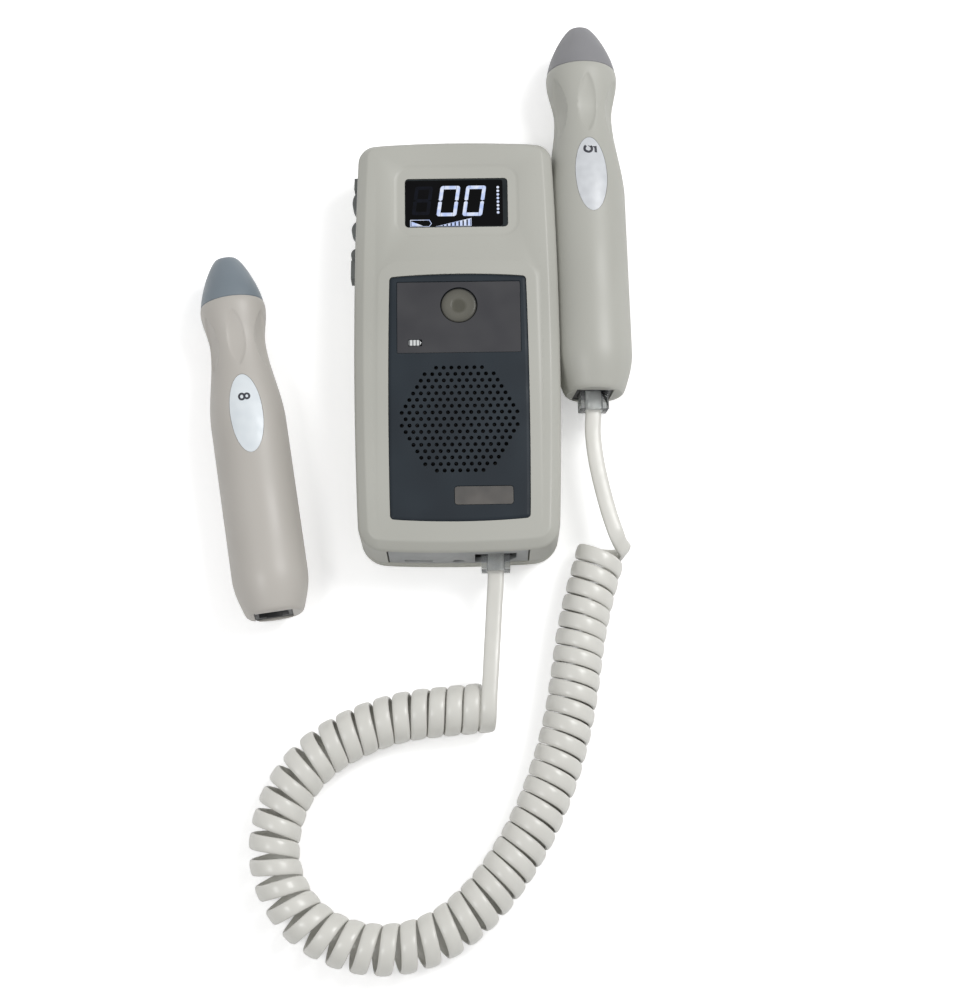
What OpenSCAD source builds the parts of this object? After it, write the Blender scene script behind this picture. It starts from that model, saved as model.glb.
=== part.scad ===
// Hand-held vascular doppler with two pencil probes and a curly flat cord.
// The origin is the middle of the unit's back, with +X right, +Y towards the display and +Z up.

/* [Unit] */
// Width across the middle of the unit
unit_w = 84.4; // [80:0.2:90]
// Length of the unit
unit_l = 176; // [170:1:184]
// Height from the back to the front plateau
unit_h = 33; // [32.6:0.1:36]
// How far each long side falls away towards its ends
side_bow = 2; // [1:0.1:2.6]
// How far each end falls away towards the corners
end_bow = 1.6; // [0.6:0.1:2]
// Corner radius at the display end
corner_top = 8; // [7:0.5:10]
// Corner radius at the socket end
corner_end = 12; // [11:0.5:14]
// Wall of both housings
wall = 2.4; // [2:0.1:2.6]
// Height of the back housing
split_z = 8; // [7.8:0.1:8.2]
// Width of the slope round the front plateau
slope_w = 4; // [3:0.25:5]
// Height of that slope
slope_h = 3; // [2.6:0.1:3.4]
// Chamfer along the bottom edge
foot_chamfer = 1.5; // [0.8:0.1:1.8]

/* [Display] */
// Width of the display window
lcd_w = 42.6; // [38:0.2:46]
// Height of the display window
lcd_l = 21.4; // [18:0.2:24]
// Distance of the display window's centre from the display end
lcd_in = 27.7; // [27:0.1:29]
// Width of the shallow dish round the window
dish_w = 50.7; // [48:0.1:53]
// Length of that dish
dish_l = 32.2; // [28:0.2:33]
// Depth of that dish
dish_depth = 0.4; // [0.2:0.1:0.8]
// Thickness of the window
window_t = 1.4; // [1:0.1:1.5]

/* [Speaker panel] */
// Width of the dark panel
panel_w = 57.2; // [56:0.1:60]
// Length of the dark panel
panel_l = 104.5; // [103:0.5:107]
// Thickness of the dark panel
panel_t = 1.2; // [1:0.1:1.4]
// Pitch of the speaker holes
hole_pitch = 3.12; // [2.9:0.01:3.2]
// Diameter of one speaker hole
hole_d = 1.7; // [1.2:0.05:2]
// Diameter of the power button
button_d = 14.9; // [12:0.1:15.6]
// Travel of the power button
button_travel = 0.8; // [0.4:0.1:1]
// Width of the inset control label
label_w = 50.5; // [48:0.5:52]
// Length of the inset control label
label_l = 30.4; // [29:0.2:31]
// Outer diameter of the speaker
speaker_d = 52; // [50:0.5:53]

/* [Side keys] */
// Height of the key strip's middle above the table
key_z = 21; // [20.6:0.1:21.6]
// Height of the key strip
strip_h = 9; // [8:0.5:10]
// How far a key stands out of the side
key_out = 2.1; // [1.6:0.1:2.4]
// Travel of a side key
key_travel = 0.6; // [0.3:0.1:0.8]

/* [Probe] */
// Length of the docked probe
probe_l = 165.5; // [164:0.5:167]
// Diameter of the probe's body
probe_d = 32.8; // [32:0.1:33]
// Diameter at the narrow neck
neck_d = 24.4; // [23:0.2:26]
// Diameter of the head
head_d = 30.1; // [28:0.1:31]
// Diameter of the jack end
end_d = 23.8; // [23.4:0.1:25]
// Wall of the probe's shell
probe_wall = 2; // [1.8:0.1:2.4]
// Size of the spare probe against the docked one
spare_size = 0.945; // [0.93:0.005:0.96]
// Depth of one grip hollow
flute_depth = 1; // [0.6:0.1:1.2]

/* [Dock] */
// How deep the docked probe sits in the unit's side
dock_bite = 2.5; // [2:0.1:2.6]
// Height of the docked probe's lowest line above the table
dock_lift = 1.2; // [1:0.1:1.6]
// Lean of the docked probe towards the unit
dock_lean = 0.8; // [0.6:0.1:0.9]
// Gap between the probe and its dock
dock_gap = 0.3; // [0.2:0.05:0.4]
// Length of the cradle under the probe
cradle_l = 60; // [40:1:70]

/* [Plug and sockets] */
// Width of the modular plug
plug_w = 11.68; // [11.4:0.02:11.8]
// Height of the modular plug
plug_h = 8; // [7.6:0.1:8.2]
// Length of the modular plug
plug_l = 21; // [20:0.5:22]
// How far a plug stands out of its socket's face
plug_out = 7.4; // [7:0.1:8]
// Clearance round a plug
plug_gap = 0.15; // [0.1:0.05:0.2]
// Bore of the headphone socket
phone_bore = 3.6; // [3.5:0.05:3.8]

/* [Batteries] */
// Diameter of one cell
cell_d = 14.2; // [13.8:0.1:14.4]
// Length of one cell
cell_l = 50.5; // [49.5:0.1:51]

/* [Cord] */
// Width of the flat cord
cord_w = 6.6; // [6:0.1:6.8]
// Thickness of the flat cord
cord_t = 2.5; // [2.2:0.1:2.7]
// Width of the cord where it is curled
curl_w = 5.8; // [5:0.1:5.85]
// Outer diameter of the curls
curl_d = 20.2; // [19:0.1:20.4]

/* [Hidden] */
$fn = 48;

housing_color = [0.76, 0.75, 0.71];
side_color = [0.66, 0.65, 0.61];
dark_color = [0.2, 0.22, 0.26];
rubber_color = [0.42, 0.43, 0.42];
metal_color = [0.78, 0.77, 0.74];
gold_color = [0.83, 0.69, 0.36];
board_color = [0.12, 0.36, 0.2];
cord_color = [0.82, 0.81, 0.78];
white_color = [0.95, 0.95, 0.94];
clear_color = [0.85, 0.88, 0.9];

slide_gap = 0.15;
seat_gap = 0.1;
eps = 0.02;

half_l = unit_l / 2;
panel_x = 0.6;
panel_y = 64.5 - half_l;
pocket_z = unit_h - panel_t;
front_under = unit_h - wall;
button_at = [0.96, 103.3 - half_l];
button_proud = 0.2;
flange_t = 1.1;
flange_w = 1.1;
light_at = [-17.1, 87.2 - half_l];
light_size = [5.3, 2.5];
label_at = [0.85, 98.1 - half_l];
label_t = 0.3;
name_at = [10.2, 22.8 - half_l];
name_size = [23.5, 7.5];
grille_at = [0.75, 54.8 - half_l];
hole_rows = [7, 10, 11, 12, 13, 14, 15, 16, 15, 16, 15, 14, 13, 12, 11, 10, 7];
lcd_x = 0.4;
lcd_y = half_l - lcd_in;
dish_r = 5;
glass_t = 3.2;
glass_rim = 4;
rail_w = 1.6;

board_z = 18.6;
board_t = 1.6;
board_x0 = -36.6;
board_x1 = 32;
board_y0 = 79.4 - half_l;
board_y1 = half_l - 16;
board_posts = [[-32.5, board_y0 + 4.6], [28, board_y0 + 4.6], [-32.5, half_l - 62], [28, board_y1 - 4]];
post_r = 2.8;
screw_r = 1.4;
screw_head_r = 2.6;
screw_head_h = 1.4;

low_board_z = 7.2;
low_board_x0 = -28;
low_board_tab = -36.8;
low_board_tab_l = 5.2;
low_board_x1 = 28;
low_board_y0 = 5 - half_l;
low_board_y1 = 18 - half_l;

corner_posts = [[-31, half_l - 9], [29, half_l - 9], [-33, 9 - half_l], [33, 9 - half_l]];
corner_post_r = 3.6;
corner_bore_depth = 14;
counter_r = 2.9;
counter_h = 2.5;

bay_wall = 1.6;
cell_pitch = cell_d + 0.4;
bay_w = 4 * cell_pitch + 1.6;
bay_l = cell_l + 4.6;
bay_y = 48.5 - half_l;
door_t = 1.8;
door_up = 0.3;
door_gap = 0.2;
cell_z = door_up + door_t + 0.4 + cell_d / 2;
bay_top = cell_z + cell_d / 2 + 0.3;
contact_t = 0.4;

end_x0 = -28.9;
end_x1 = 28;
end_top = 29;
jack_x = 14.6;
jack_z = 17;
jack_w = 16.6;
jack_front = half_l - 2.2;
jack_set = 0.9;
jack_hole = [[-8.4, 7.4], [8.4, 7.4], [8.4, -1], [5.2, -7.4], [-8.4, -7.4]];
plug_pocket = 9.5;
contact_pitch = 1.02;
contact_slot = 5.5;
jack_l = 15.4;
latch_w = 6.2;
latch_h = 1.9;
phone_x = -0.5;
low_port_z = 12;
slot_x = -16.7;
slot_w = 11.4;
slot_h = 3;

strip_y0 = half_l - 58.2;
strip_y1 = half_l - 13.4;
key_ys = [half_l - 24, half_l - 36, half_l - 46.9];
key_ls = [11.2, 8.4, 6];
strip_gap = 0.4;

probe_turn = 7;
spare_turn = 3;
dock_end = -19.5;
spare_at = [-74.6, -109.7];
spare_lean = 8.4;
dock_x = unit_w / 2 + probe_d / 2 - dock_bite;
dock_z = probe_d / 2 + dock_lift;
dock_r = probe_d / 2 + dock_gap;
channel_from = -32;
cradle_from = 2;
cradle_wall = 2.2;
cradle_h = 6.4;
cradle_reach = dock_x - unit_w / 2 + side_bow + 2;
cradle_screw_r = 1.1;
cradle_screw_head_r = 1.55;
cradle_screw_z = wall + cradle_screw_head_r + 0.1;
cradle_screw_ys = [cradle_from + 10, cradle_from + cradle_l - 10];
jack_off = -0.6;
end_round = 18;
belly_end = 86;
neck_z = 122;
head_z = 141.5;
probe_seam = 144.5;
tip_flat_d = 8.6;
oval_l = 33.5;
oval_w = 13.3;
oval_z = 92;
oval_t = 0.6;
flute_z = 125;
flute_wheel = 46;
flute_round = 4;
flutes = 6;
crystal_cup_r = 8;
probe_jack_w = 15.4;
probe_jack_up = 7.4;
probe_jack_down = 8.2;
probe_jack_l = 17;
probe_jack_at = 0.6;

// Middle line of the curled stretch: each run has its length, its turn in degrees and its pitch
curls = 49.75;
coil_start = [11, -half_l - 59.5];
coil_heading = -175.5;
coil_z = curl_d / 2 + 0.1;
coil_runs = [[24.5, 0.5, 7], [40, 26, 7.4], [45, 53, 8], [45, 67, 8.6], [55, 65, 8.4], [20, 14.5, 7.8],
    [40, 16.5, 7.2], [45, 13.5, 7], [15, 1, 6.9], [25, -7, 6.9], [17, -1.5, 7.2], [4.7, 0, 9.5]];
coil_end_run = 3;
curl_t = cord_t - 0.2;
helix_r = (curl_d - curl_t) / 2;
rings_per_curl = 8;

// Curve of a bowed plate with round corners, anticlockwise from the lower right corner
function bowed(w, l, bw, bl, rt, rb, n = 6) = let(
    side = function(y) w / 2 - bw * pow(2 * y / l, 2),
    end = function(x) l / 2 - bl * pow(2 * x / w, 2),
    corner = function(sx, sy, r) [for (i = [0 : n]) let(
        a = 90 * (sx * sy > 0 ? i : n - i) / n,
        cx = side(l / 2 - r) - r,
        cy = end(w / 2 - r) - r)
        [sx * (cx + r * cos(a)), sy * (cy + r * sin(a))]],
    ys = [for (i = [-3 : 3]) i * (l / 2 - rt - rb) / 3.2],
    xs = [for (i = [-2 : 2]) i * (w / 2 - rt) / 2.6])
    concat(corner(1, -1, rb), [for (y = ys) [side(y), y]], corner(1, 1, rt),
        [for (i = [4 : -1 : 0]) [xs[i], end(xs[i])]], corner(-1, 1, rt),
        [for (i = [6 : -1 : 0]) [-side(ys[i]), ys[i]]], corner(-1, -1, rb),
        [for (x = xs) [x, -end(x)]]);

// Outline of the unit, drawn in by d
function rim(d) = bowed(unit_w - 2 * d, unit_l - 2 * d, side_bow, end_bow,
    max(corner_top - d, 1), max(corner_end - d, 1));

function side_x(y) = unit_w / 2 - side_bow * pow(2 * y / unit_l, 2);

function lift(outline, z) = [for (q = outline) [q[0], q[1], z]];

module block(x0, x1, y0, y1, z0, z1) {
    translate([x0, y0, z0])
        cube([x1 - x0, y1 - y0, z1 - z0]);
}

module pin(at, z0, z1, r) {
    translate([at[0], at[1], z0])
        cylinder(r = r, h = z1 - z0);
}

// Cylinder along Y from y0 to y1
module pin_y(x, z, y0, y1, r) {
    translate([x, y0, z])
        rotate([-90, 0, 0])
            cylinder(r = r, h = y1 - y0);
}

// Front half of the unit, solid, drawn in by d
module front_form(d) {
    tube([lift(rim(d), split_z), lift(rim(d), unit_h - slope_h - d / 2),
        lift(rim(d + slope_w), unit_h - d)]);
}

module dock_bore(r) {
    translate([dock_x, 0, dock_z])
        rotate([0, 0, dock_lean])
            rotate([-90, 0, 0])
                translate([0, 0, channel_from])
                    cylinder(r = r, h = unit_l, $fn = 90);
}

module panel_outline(gap) {
    translate([panel_x, panel_y])
        polygon(bowed(panel_w + 2 * gap, panel_l + 2 * gap, 0.6, 1.2, 1.6, 1.6, 4));
}

module end_box(gap) {
    block(end_x0 - gap, end_x1 + gap, -half_l - 1, -half_l + corner_end / 2,
        split_z - 1, end_top + gap);
}

module strip_box(gap) {
    block(-unit_w, -side_x(strip_y1) + wall + 0.3, strip_y0 - gap, strip_y1 + gap,
        key_z - strip_h / 2 - gap, key_z + strip_h / 2 + gap);
}

module front_housing() {
    color(housing_color)
        difference() {
            union() {
                difference() {
                    front_form(0);
                    difference() {
                        translate([0, 0, -eps])
                            front_form(wall);
                        dock_bore(dock_r + wall);
                    }
                }
                for (p = corner_posts)
                    pin(p, split_z, front_under + eps, corner_post_r);
            }
            dock_bore(dock_r);
            end_box(0);
            strip_box(0);
            for (p = corner_posts)
                pin(p, split_z - 1, split_z + corner_bore_depth, screw_r - 0.1);
            translate([0, 0, pocket_z])
                linear_extrude(panel_t + 1)
                    panel_outline(seat_gap);
            translate([lcd_x, lcd_y, unit_h - dish_depth])
                linear_extrude(1)
                    polygon(bowed(dish_w, dish_l, 0, 0, dish_r, dish_r));
            translate([lcd_x, lcd_y, front_under - 1])
                linear_extrude(wall + 2)
                    square([lcd_w, lcd_l], center = true);
            pin(grille_at, front_under - 1, unit_h, speaker_d / 2 - 3);
            pin(button_at, front_under - 1, unit_h, button_d / 2 + slide_gap);
            translate([light_at[0], light_at[1], unit_h])
                cube([light_size[0] + 0.4, light_size[1] + 0.4, 4 * wall], center = true);
        }
}

module back_housing() {
    color(side_color)
        difference() {
            union() {
                difference() {
                    tube([lift(rim(foot_chamfer), 0), lift(rim(0), foot_chamfer),
                        lift(rim(0), split_z)]);
                    translate([0, 0, wall])
                        linear_extrude(split_z)
                            polygon(rim(wall));
                }
                block(-bay_w / 2 - bay_wall, bay_w / 2 + bay_wall, bay_y - bay_l / 2 - bay_wall,
                    bay_y + bay_l / 2 + bay_wall, 1, bay_top + bay_wall);
                for (p = corner_posts)
                    pin(p, 1, split_z, corner_post_r + 1);
                for (p = board_posts)
                    pin(p, 1, board_z, post_r);
                for (x = [low_board_x0 + 3, low_board_x1 - 3])
                    pin([x, (low_board_y0 + low_board_y1) / 2], 1, low_board_z, post_r);
            }
            block(-bay_w / 2, bay_w / 2, bay_y - bay_l / 2, bay_y + bay_l / 2, -1, bay_top);
            for (p = corner_posts) {
                pin(p, -1, split_z + 1, screw_r + 0.2);
                pin(p, -1, counter_h, counter_r);
            }
            for (p = board_posts)
                pin(p, board_z - 8, board_z + 1, screw_r);
            for (y = cradle_screw_ys)
                cradle_hole(y, unit_w / 2 + 2);
        }
}

// Screw hole from inside the unit's side out to x
module cradle_hole(y, x) {
    translate([unit_w / 2 - 8, y, cradle_screw_z])
        rotate([0, 90, 0])
            cylinder(r = cradle_screw_r + 0.1, h = x - unit_w / 2 + 8);
}

module cradle_profile() {
    difference() {
        union() {
            intersection() {
                circle(dock_r + cradle_wall, $fn = 90);
                translate([-probe_d, -dock_z])
                    square([2 * probe_d, cradle_h]);
            }
            translate([-cradle_reach, -dock_z])
                square([cradle_reach, split_z]);
        }
        circle(dock_r, $fn = 90);
    }
}

module probe_cradle() {
    color(side_color)
        difference() {
            translate([dock_x, 0, dock_z])
                rotate([0, 0, dock_lean])
                    rotate([90, 0, 0])
                        translate([0, 0, -cradle_from - cradle_l])
                            linear_extrude(cradle_l)
                                cradle_profile();
            translate([0, 0, -1])
                linear_extrude(split_z + 2)
                    polygon(rim(-eps));
            for (y = cradle_screw_ys)
                cradle_hole(y, dock_x - 6);
        }
}

module cradle_screws() {
    above = dock_z - cradle_screw_z - cradle_screw_r;
    tip = dock_x - sqrt(dock_r * dock_r - above * above) - 0.5;
    color(metal_color)
        for (y = cradle_screw_ys)
            translate([side_x(y) - wall, y, cradle_screw_z])
                rotate([0, 90, 0]) {
                    cylinder(r = cradle_screw_r, h = tip - side_x(y) + wall);
                    translate([0, 0, -screw_head_h])
                        cylinder(r = cradle_screw_head_r, h = screw_head_h - 0.2);
                }
}

module lcd_window() {
    color(dark_color)
        translate([lcd_x, lcd_y, unit_h - dish_depth - window_t])
            linear_extrude(window_t - seat_gap)
                square([lcd_w - 2 * seat_gap, lcd_l - 2 * seat_gap], center = true);
}

module lcd_module() {
    top = unit_h - dish_depth - window_t - seat_gap;
    under = front_under - seat_gap;
    color([0.3, 0.35, 0.42])
        translate([lcd_x, lcd_y, 0]) {
            translate([0, 0, under - glass_t])
                linear_extrude(glass_t)
                    square([lcd_w + 2 * glass_rim, lcd_l + glass_rim], center = true);
            translate([0, 0, under - eps])
                linear_extrude(top - under)
                    square([lcd_w - 1, lcd_l - 1], center = true);
            for (s = [-1, 1])
                translate([s * (lcd_w / 2 - 3) - rail_w / 2, -lcd_l / 2, board_z + board_t])
                    cube([rail_w, lcd_l, under - glass_t - board_z - board_t + eps]);
        }
}

module speaker_panel() {
    color(dark_color)
        difference() {
            translate([0, 0, pocket_z])
                linear_extrude(panel_t)
                    difference() {
                        panel_outline(0);
                        for (r = [0 : len(hole_rows) - 1], i = [0 : hole_rows[r] - 1])
                            translate([grille_at[0] + (i - (hole_rows[r] - 1) / 2) * hole_pitch,
                                grille_at[1] + ((len(hole_rows) - 1) / 2 - r) * hole_pitch * sin(60)])
                                circle(d = hole_d, $fn = 16);
                        translate(button_at)
                            circle(button_d / 2 + slide_gap);
                        translate(light_at)
                            square([light_size[0] + 0.2, light_size[1] + 0.2], center = true);
                    }
            translate([label_at[0], label_at[1], unit_h - label_t])
                linear_extrude(1)
                    square([label_w + 0.2, label_l + 0.2], center = true);
            translate([name_at[0], name_at[1], unit_h - label_t])
                linear_extrude(1)
                    square([name_size[0] + 0.2, name_size[1] + 0.2], center = true);
        }
}

module control_label() {
    color([0.3, 0.29, 0.3])
        translate([label_at[0], label_at[1], unit_h - label_t])
            linear_extrude(label_t - 0.05)
                difference() {
                    square([label_w, label_l], center = true);
                    translate([button_at[0] - label_at[0], button_at[1] - label_at[1]])
                        circle(button_d / 2 + slide_gap + 0.4);
                    translate([light_at[0] - label_at[0], light_at[1] - label_at[1]])
                        square([light_size[0] + 0.4, light_size[1] + 0.4], center = true);
                }
}

module name_plate() {
    color([0.32, 0.36, 0.42])
        translate([name_at[0], name_at[1], unit_h - label_t])
            linear_extrude(label_t - 0.05)
                square(name_size, center = true);
}

module charge_light() {
    color(white_color)
        translate([light_at[0], light_at[1], (unit_h + board_z + board_t + 2) / 2])
            cube([light_size[0], light_size[1], unit_h - board_z - board_t - 2], center = true);
}

module status_led() {
    color([0.5, 0.9, 0.5])
        block(light_at[0] - 1.6, light_at[0] + 1.6, light_at[1] - 0.8, light_at[1] + 0.8,
            board_z + board_t, board_z + board_t + 1.8);
}

module power_button() {
    z1 = front_under - 0.2;
    z0 = z1 - flange_t;
    top = unit_h + button_proud;
    dish = 26;
    color([0.47, 0.47, 0.42])
        difference() {
            union() {
                pin(button_at, z0, z1, button_d / 2 + flange_w);
                pin(button_at, z0, top, button_d / 2);
            }
            translate([button_at[0], button_at[1], top + dish - 0.5])
                sphere(dish, $fn = 96);
        }
}

module button_switch() {
    z0 = board_z + board_t;
    top = front_under - 0.2 - flange_t - button_travel - 0.05;
    color(metal_color) {
        block(button_at[0] - 3, button_at[0] + 3, button_at[1] - 3, button_at[1] + 3, z0, z0 + 3.6);
        pin(button_at, z0 + 3.5, top, 1.75);
    }
}

module speaker_frame() {
    r = speaker_d / 2;
    top = front_under - seat_gap;
    color(metal_color)
        translate([grille_at[0], grille_at[1], 0])
            rotate_extrude($fn = 72)
                polygon([[0, bay_top + bay_wall + 0.3], [12, bay_top + bay_wall + 0.3], [12, top - 6],
                    [r - 4, top - 2], [r, top - 2], [r, top], [r - 3.4, top], [r - 3.4, top - 1],
                    [10, top - 5.2], [0, top - 5.2]]);
}

module speaker_cone() {
    r = speaker_d / 2;
    top = front_under - seat_gap;
    color([0.25, 0.25, 0.27])
        translate([grille_at[0], grille_at[1], 0])
            rotate_extrude($fn = 72)
                polygon([[0, top - 2.6], [4, top - 3.2], [8, top - 4.6], [r - 5, top - 1.1],
                    [r - 3.6, top - 0.7], [r - 3.6, top - 0.2], [r - 5, top - 0.6],
                    [8, top - 4.1], [4, top - 2.7], [0, top - 2.1]]);
}

module main_board() {
    color(board_color)
        difference() {
            block(board_x0, board_x1, board_y0, board_y1, board_z, board_z + board_t);
            for (p = board_posts)
                pin(p, board_z - 1, board_z + board_t + 1, screw_r + 0.2);
        }
}

module board_screws() {
    top = board_z + board_t;
    color(metal_color)
        for (p = board_posts) {
            pin(p, board_z - 6, top + eps, screw_r - 0.05);
            pin(p, top, top + screw_head_h, screw_head_r);
        }
}

module connector_board() {
    color(board_color) {
        block(low_board_x0, low_board_x1, low_board_y0, low_board_y1, low_board_z,
            low_board_z + board_t);
        block(low_board_tab, low_board_x0 + 1, low_board_y1 + 1 - low_board_tab_l, low_board_y1 + 1,
            low_board_z, low_board_z + board_t);
    }
}

module board_ribbon() {
    t = 0.5;
    low = low_board_z + board_t;
    color(white_color)
        translate([low_board_tab + 0.6, 0, 0])
            rotate([90, 0, 90])
                linear_extrude(3)
                    polygon([[low_board_y1 - 3.6, low], [low_board_y1 + 2, low],
                        [board_y0 - 4, board_z - t], [board_y0 + 1.5, board_z - t],
                        [board_y0 + 1.5, board_z], [board_y0 - 4.4, board_z],
                        [low_board_y1 + 1.6, low + t], [low_board_y1 - 3.6, low + t]]);
}

// Length of the side under the key strip, as a thin bowed layer from inner face to outer face
module strip_layer(inner, outer, y0, y1, z0, z1) {
    intersection() {
        translate([0, 0, z0])
            linear_extrude(z1 - z0)
                difference() {
                    polygon(rim(-outer));
                    polygon(rim(inner));
                }
        block(-unit_w, 0, y0, y1, z0 - 1, z1 + 1);
    }
}

module side_key_strip() {
    z0 = key_z - strip_h / 2 + slide_gap;
    z1 = key_z + strip_h / 2 - slide_gap;
    color(rubber_color)
        difference() {
            union() {
                strip_layer(wall, 0.3, strip_y0 + slide_gap, strip_y1 - slide_gap, z0, z1);
                strip_layer(wall, 1.5, key_ys[0] + key_ls[0] / 2 + 0.1, strip_y1 - slide_gap, z0, z1);
                strip_layer(wall, 1.9, strip_y0 + slide_gap, key_ys[2] - key_ls[2] / 2 - 0.1, z0, z1);
            }
            for (i = [0 : 2])
                block(-unit_w, 0, key_ys[i] - key_ls[i] / 2, key_ys[i] + key_ls[i] / 2,
                    key_z - strip_h / 2 + 1.2, key_z + strip_h / 2 - 1.2);
        }
}

// One rubber key: a low rounded hump with a stem that meets its switch
module side_key(i) {
    l = key_ls[i] - 2 * strip_gap;
    h = strip_h - 2.4 - 2 * slide_gap;
    x = -side_x(key_ys[i]);
    bulge = l * l / 8 / key_out + key_out / 2;
    color(rubber_color)
        translate([x, key_ys[i], key_z - h / 2]) {
            intersection() {
                translate([bulge - key_out, 0, 0])
                    cylinder(r = bulge, h = h, $fn = 96);
                translate([-key_out - 1, -l / 2, 0])
                    cube([key_out + 1 + wall, l, h]);
            }
            translate([wall - 1, -1.5, h / 2 - 1.5])
                cube([2, 3, 3]);
        }
}

module upper_side_key() {
    side_key(0);
}

module middle_side_key() {
    side_key(1);
}

module lower_side_key() {
    side_key(2);
}

module side_key_switches() {
    color(metal_color)
        for (y = key_ys)
            block(-side_x(y) + wall + 1 + key_travel + 0.1, board_x0 + 3.6, y - 2.2, y + 2.2,
                board_z + board_t, board_z + board_t + 4);
}

module end_panel() {
    color([0.55, 0.56, 0.57])
        difference() {
            intersection() {
                difference() {
                    translate([0, 0, split_z])
                        linear_extrude(end_top - split_z)
                            polygon(rim(0.3));
                    translate([0, 0, split_z - 1])
                        linear_extrude(end_top)
                            polygon(rim(wall));
                }
                end_box(-0.25);
            }
            translate([jack_x, -half_l + 6, jack_z])
                rotate([90, 0, 0])
                    linear_extrude(12)
                        polygon(jack_hole);
            pin_y(phone_x, low_port_z, -half_l - 1, -half_l + 5, phone_bore / 2 + 0.6);
            block(slot_x - slot_w / 2, slot_x + slot_w / 2, -half_l - 1, -half_l + 5,
                low_port_z - slot_h / 2, low_port_z + slot_h / 2);
        }
}

// Space that a modular plug takes, with its latch, in the plug's own frame
module plug_space(gap, l) {
    translate([-plug_w / 2 - gap, -plug_h / 2 - gap, 0])
        cube([plug_w + 2 * gap, plug_h + 2 * gap, l]);
    translate([-latch_w / 2 - gap, plug_h / 2, 0])
        cube([latch_w + 2 * gap, latch_h + gap, l]);
}

// The socket is drawn in the plug's frame: +Z runs into it and +Y points to the latch
module modular_jack(w, up, down, l) {
    depth = plug_l - plug_out + 0.3;
    difference() {
        translate([-w / 2, -up, 0])
            cube([w, up + down, l]);
        translate([0, 0, -1])
            plug_space(plug_gap, depth + 1);
    }
}

module modular_plug() {
    difference() {
        translate([-plug_w / 2, -plug_h / 2, 0])
            cube([plug_w, plug_h, plug_l]);
        translate([-cord_w / 2 - 0.3, -cord_t / 2 - 0.3, -1])
            cube([cord_w + 0.6, cord_t + 0.6, plug_pocket + 1]);
        for (i = [0 : 7])
            translate([(i - 3.5) * contact_pitch - 0.3, -plug_h / 2 - 1, plug_l - contact_slot])
                cube([0.6, 4, contact_slot - 0.8]);
    }
    translate([-latch_w / 2 + 0.3, plug_h / 2 - eps, 0])
        rotate([90, 0, 90])
            linear_extrude(latch_w - 0.6)
                polygon([[0, 0.4], [latch_h, 3.2], [latch_h, plug_l - 9], [0, plug_l - 0.4]]);
}

module plug_contacts() {
    for (i = [0 : 7])
        translate([(i - 3.5) * contact_pitch - 0.18, -plug_h / 2 + 0.35, plug_l - contact_slot + 0.2])
            cube([0.36, 2.6, contact_slot - 1.2]);
}

// Places children that are drawn with +Z into the unit's socket
module at_unit_jack() {
    translate([jack_x, -jack_front, jack_z])
        rotate([-90, 0, 0])
            children();
}

module unit_jack() {
    color(dark_color)
        at_unit_jack()
            translate([0, 0, jack_set])
                modular_jack(jack_w, 7.2, jack_z - low_board_z - board_t, jack_l);
}

module unit_plug() {
    color(clear_color)
        at_unit_jack()
            translate([0, 0, -plug_out])
                modular_plug();
}

module unit_plug_contacts() {
    color(gold_color)
        at_unit_jack()
            translate([0, 0, -plug_out])
                plug_contacts();
}

module headphone_jack() {
    y0 = -half_l + wall + 1.2;
    low = low_board_z + board_t;
    color(dark_color)
        difference() {
            union() {
                block(phone_x - 3.2, phone_x + 3.2, y0, y0 + 11.6, low, low_port_z + 3.2);
                pin_y(phone_x, low_port_z, y0 - 2.4, y0 + 1, phone_bore / 2 + 0.5);
            }
            pin_y(phone_x, low_port_z, y0 - 4, y0 + 10.4, phone_bore / 2);
        }
}

module charge_socket() {
    y0 = -half_l + wall + 0.9;
    low = low_board_z + board_t;
    color(metal_color)
        difference() {
            block(slot_x - slot_w / 2 - 1, slot_x + slot_w / 2 + 1, y0, y0 + 8, low,
                low_port_z + slot_h / 2 + 0.9);
            block(slot_x - slot_w / 2 + 0.4, slot_x + slot_w / 2 - 0.4, y0 - 1, y0 + 6.6,
                low_port_z - slot_h / 2 + 0.3, low_port_z + slot_h / 2 - 0.3);
        }
}

module battery_cells() {
    y0 = bay_y - bay_l / 2 + contact_t + 3.7;
    color([0.35, 0.5, 0.4])
        for (i = [-1.5 : 1.5]) {
            pin_y(i * cell_pitch, cell_z, y0, y0 + cell_l - 1.2, cell_d / 2);
            pin_y(i * cell_pitch, cell_z, y0, y0 + cell_l, 2.75);
        }
}

module battery_contacts() {
    y0 = bay_y - bay_l / 2;
    y1 = bay_y + bay_l / 2;
    color(metal_color)
        for (i = [-1.5 : 1.5]) {
            block(i * cell_pitch - 5, i * cell_pitch + 5, y0, y0 + contact_t, cell_z - 6, cell_z + 6);
            block(i * cell_pitch - 5, i * cell_pitch + 5, y1 - contact_t, y1, cell_z - 6, cell_z + 6);
            translate([i * cell_pitch, y0 + contact_t - eps, cell_z])
                rotate([-90, 0, 0])
                    cylinder(r1 = 4.4, r2 = 2.6, h = 3.6);
        }
}

module battery_door() {
    w = bay_w - 2 * door_gap;
    l = bay_l - 2 * door_gap;
    color(side_color)
        difference() {
            block(-w / 2, w / 2, bay_y - l / 2, bay_y + l / 2, door_up, door_up + door_t);
            for (i = [-2 : 2])
                block(-9, 9, bay_y + l / 2 - 12 + i * 2, bay_y + l / 2 - 11.2 + i * 2,
                    door_up - 1, door_up + 0.5);
        }
}

module housing_screws() {
    color(metal_color)
        for (p = corner_posts) {
            pin(p, counter_h - eps, split_z + 9, screw_r - 0.15);
            pin(p, counter_h - screw_head_h - 0.2, counter_h - 0.1, screw_head_r);
        }
}

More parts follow.
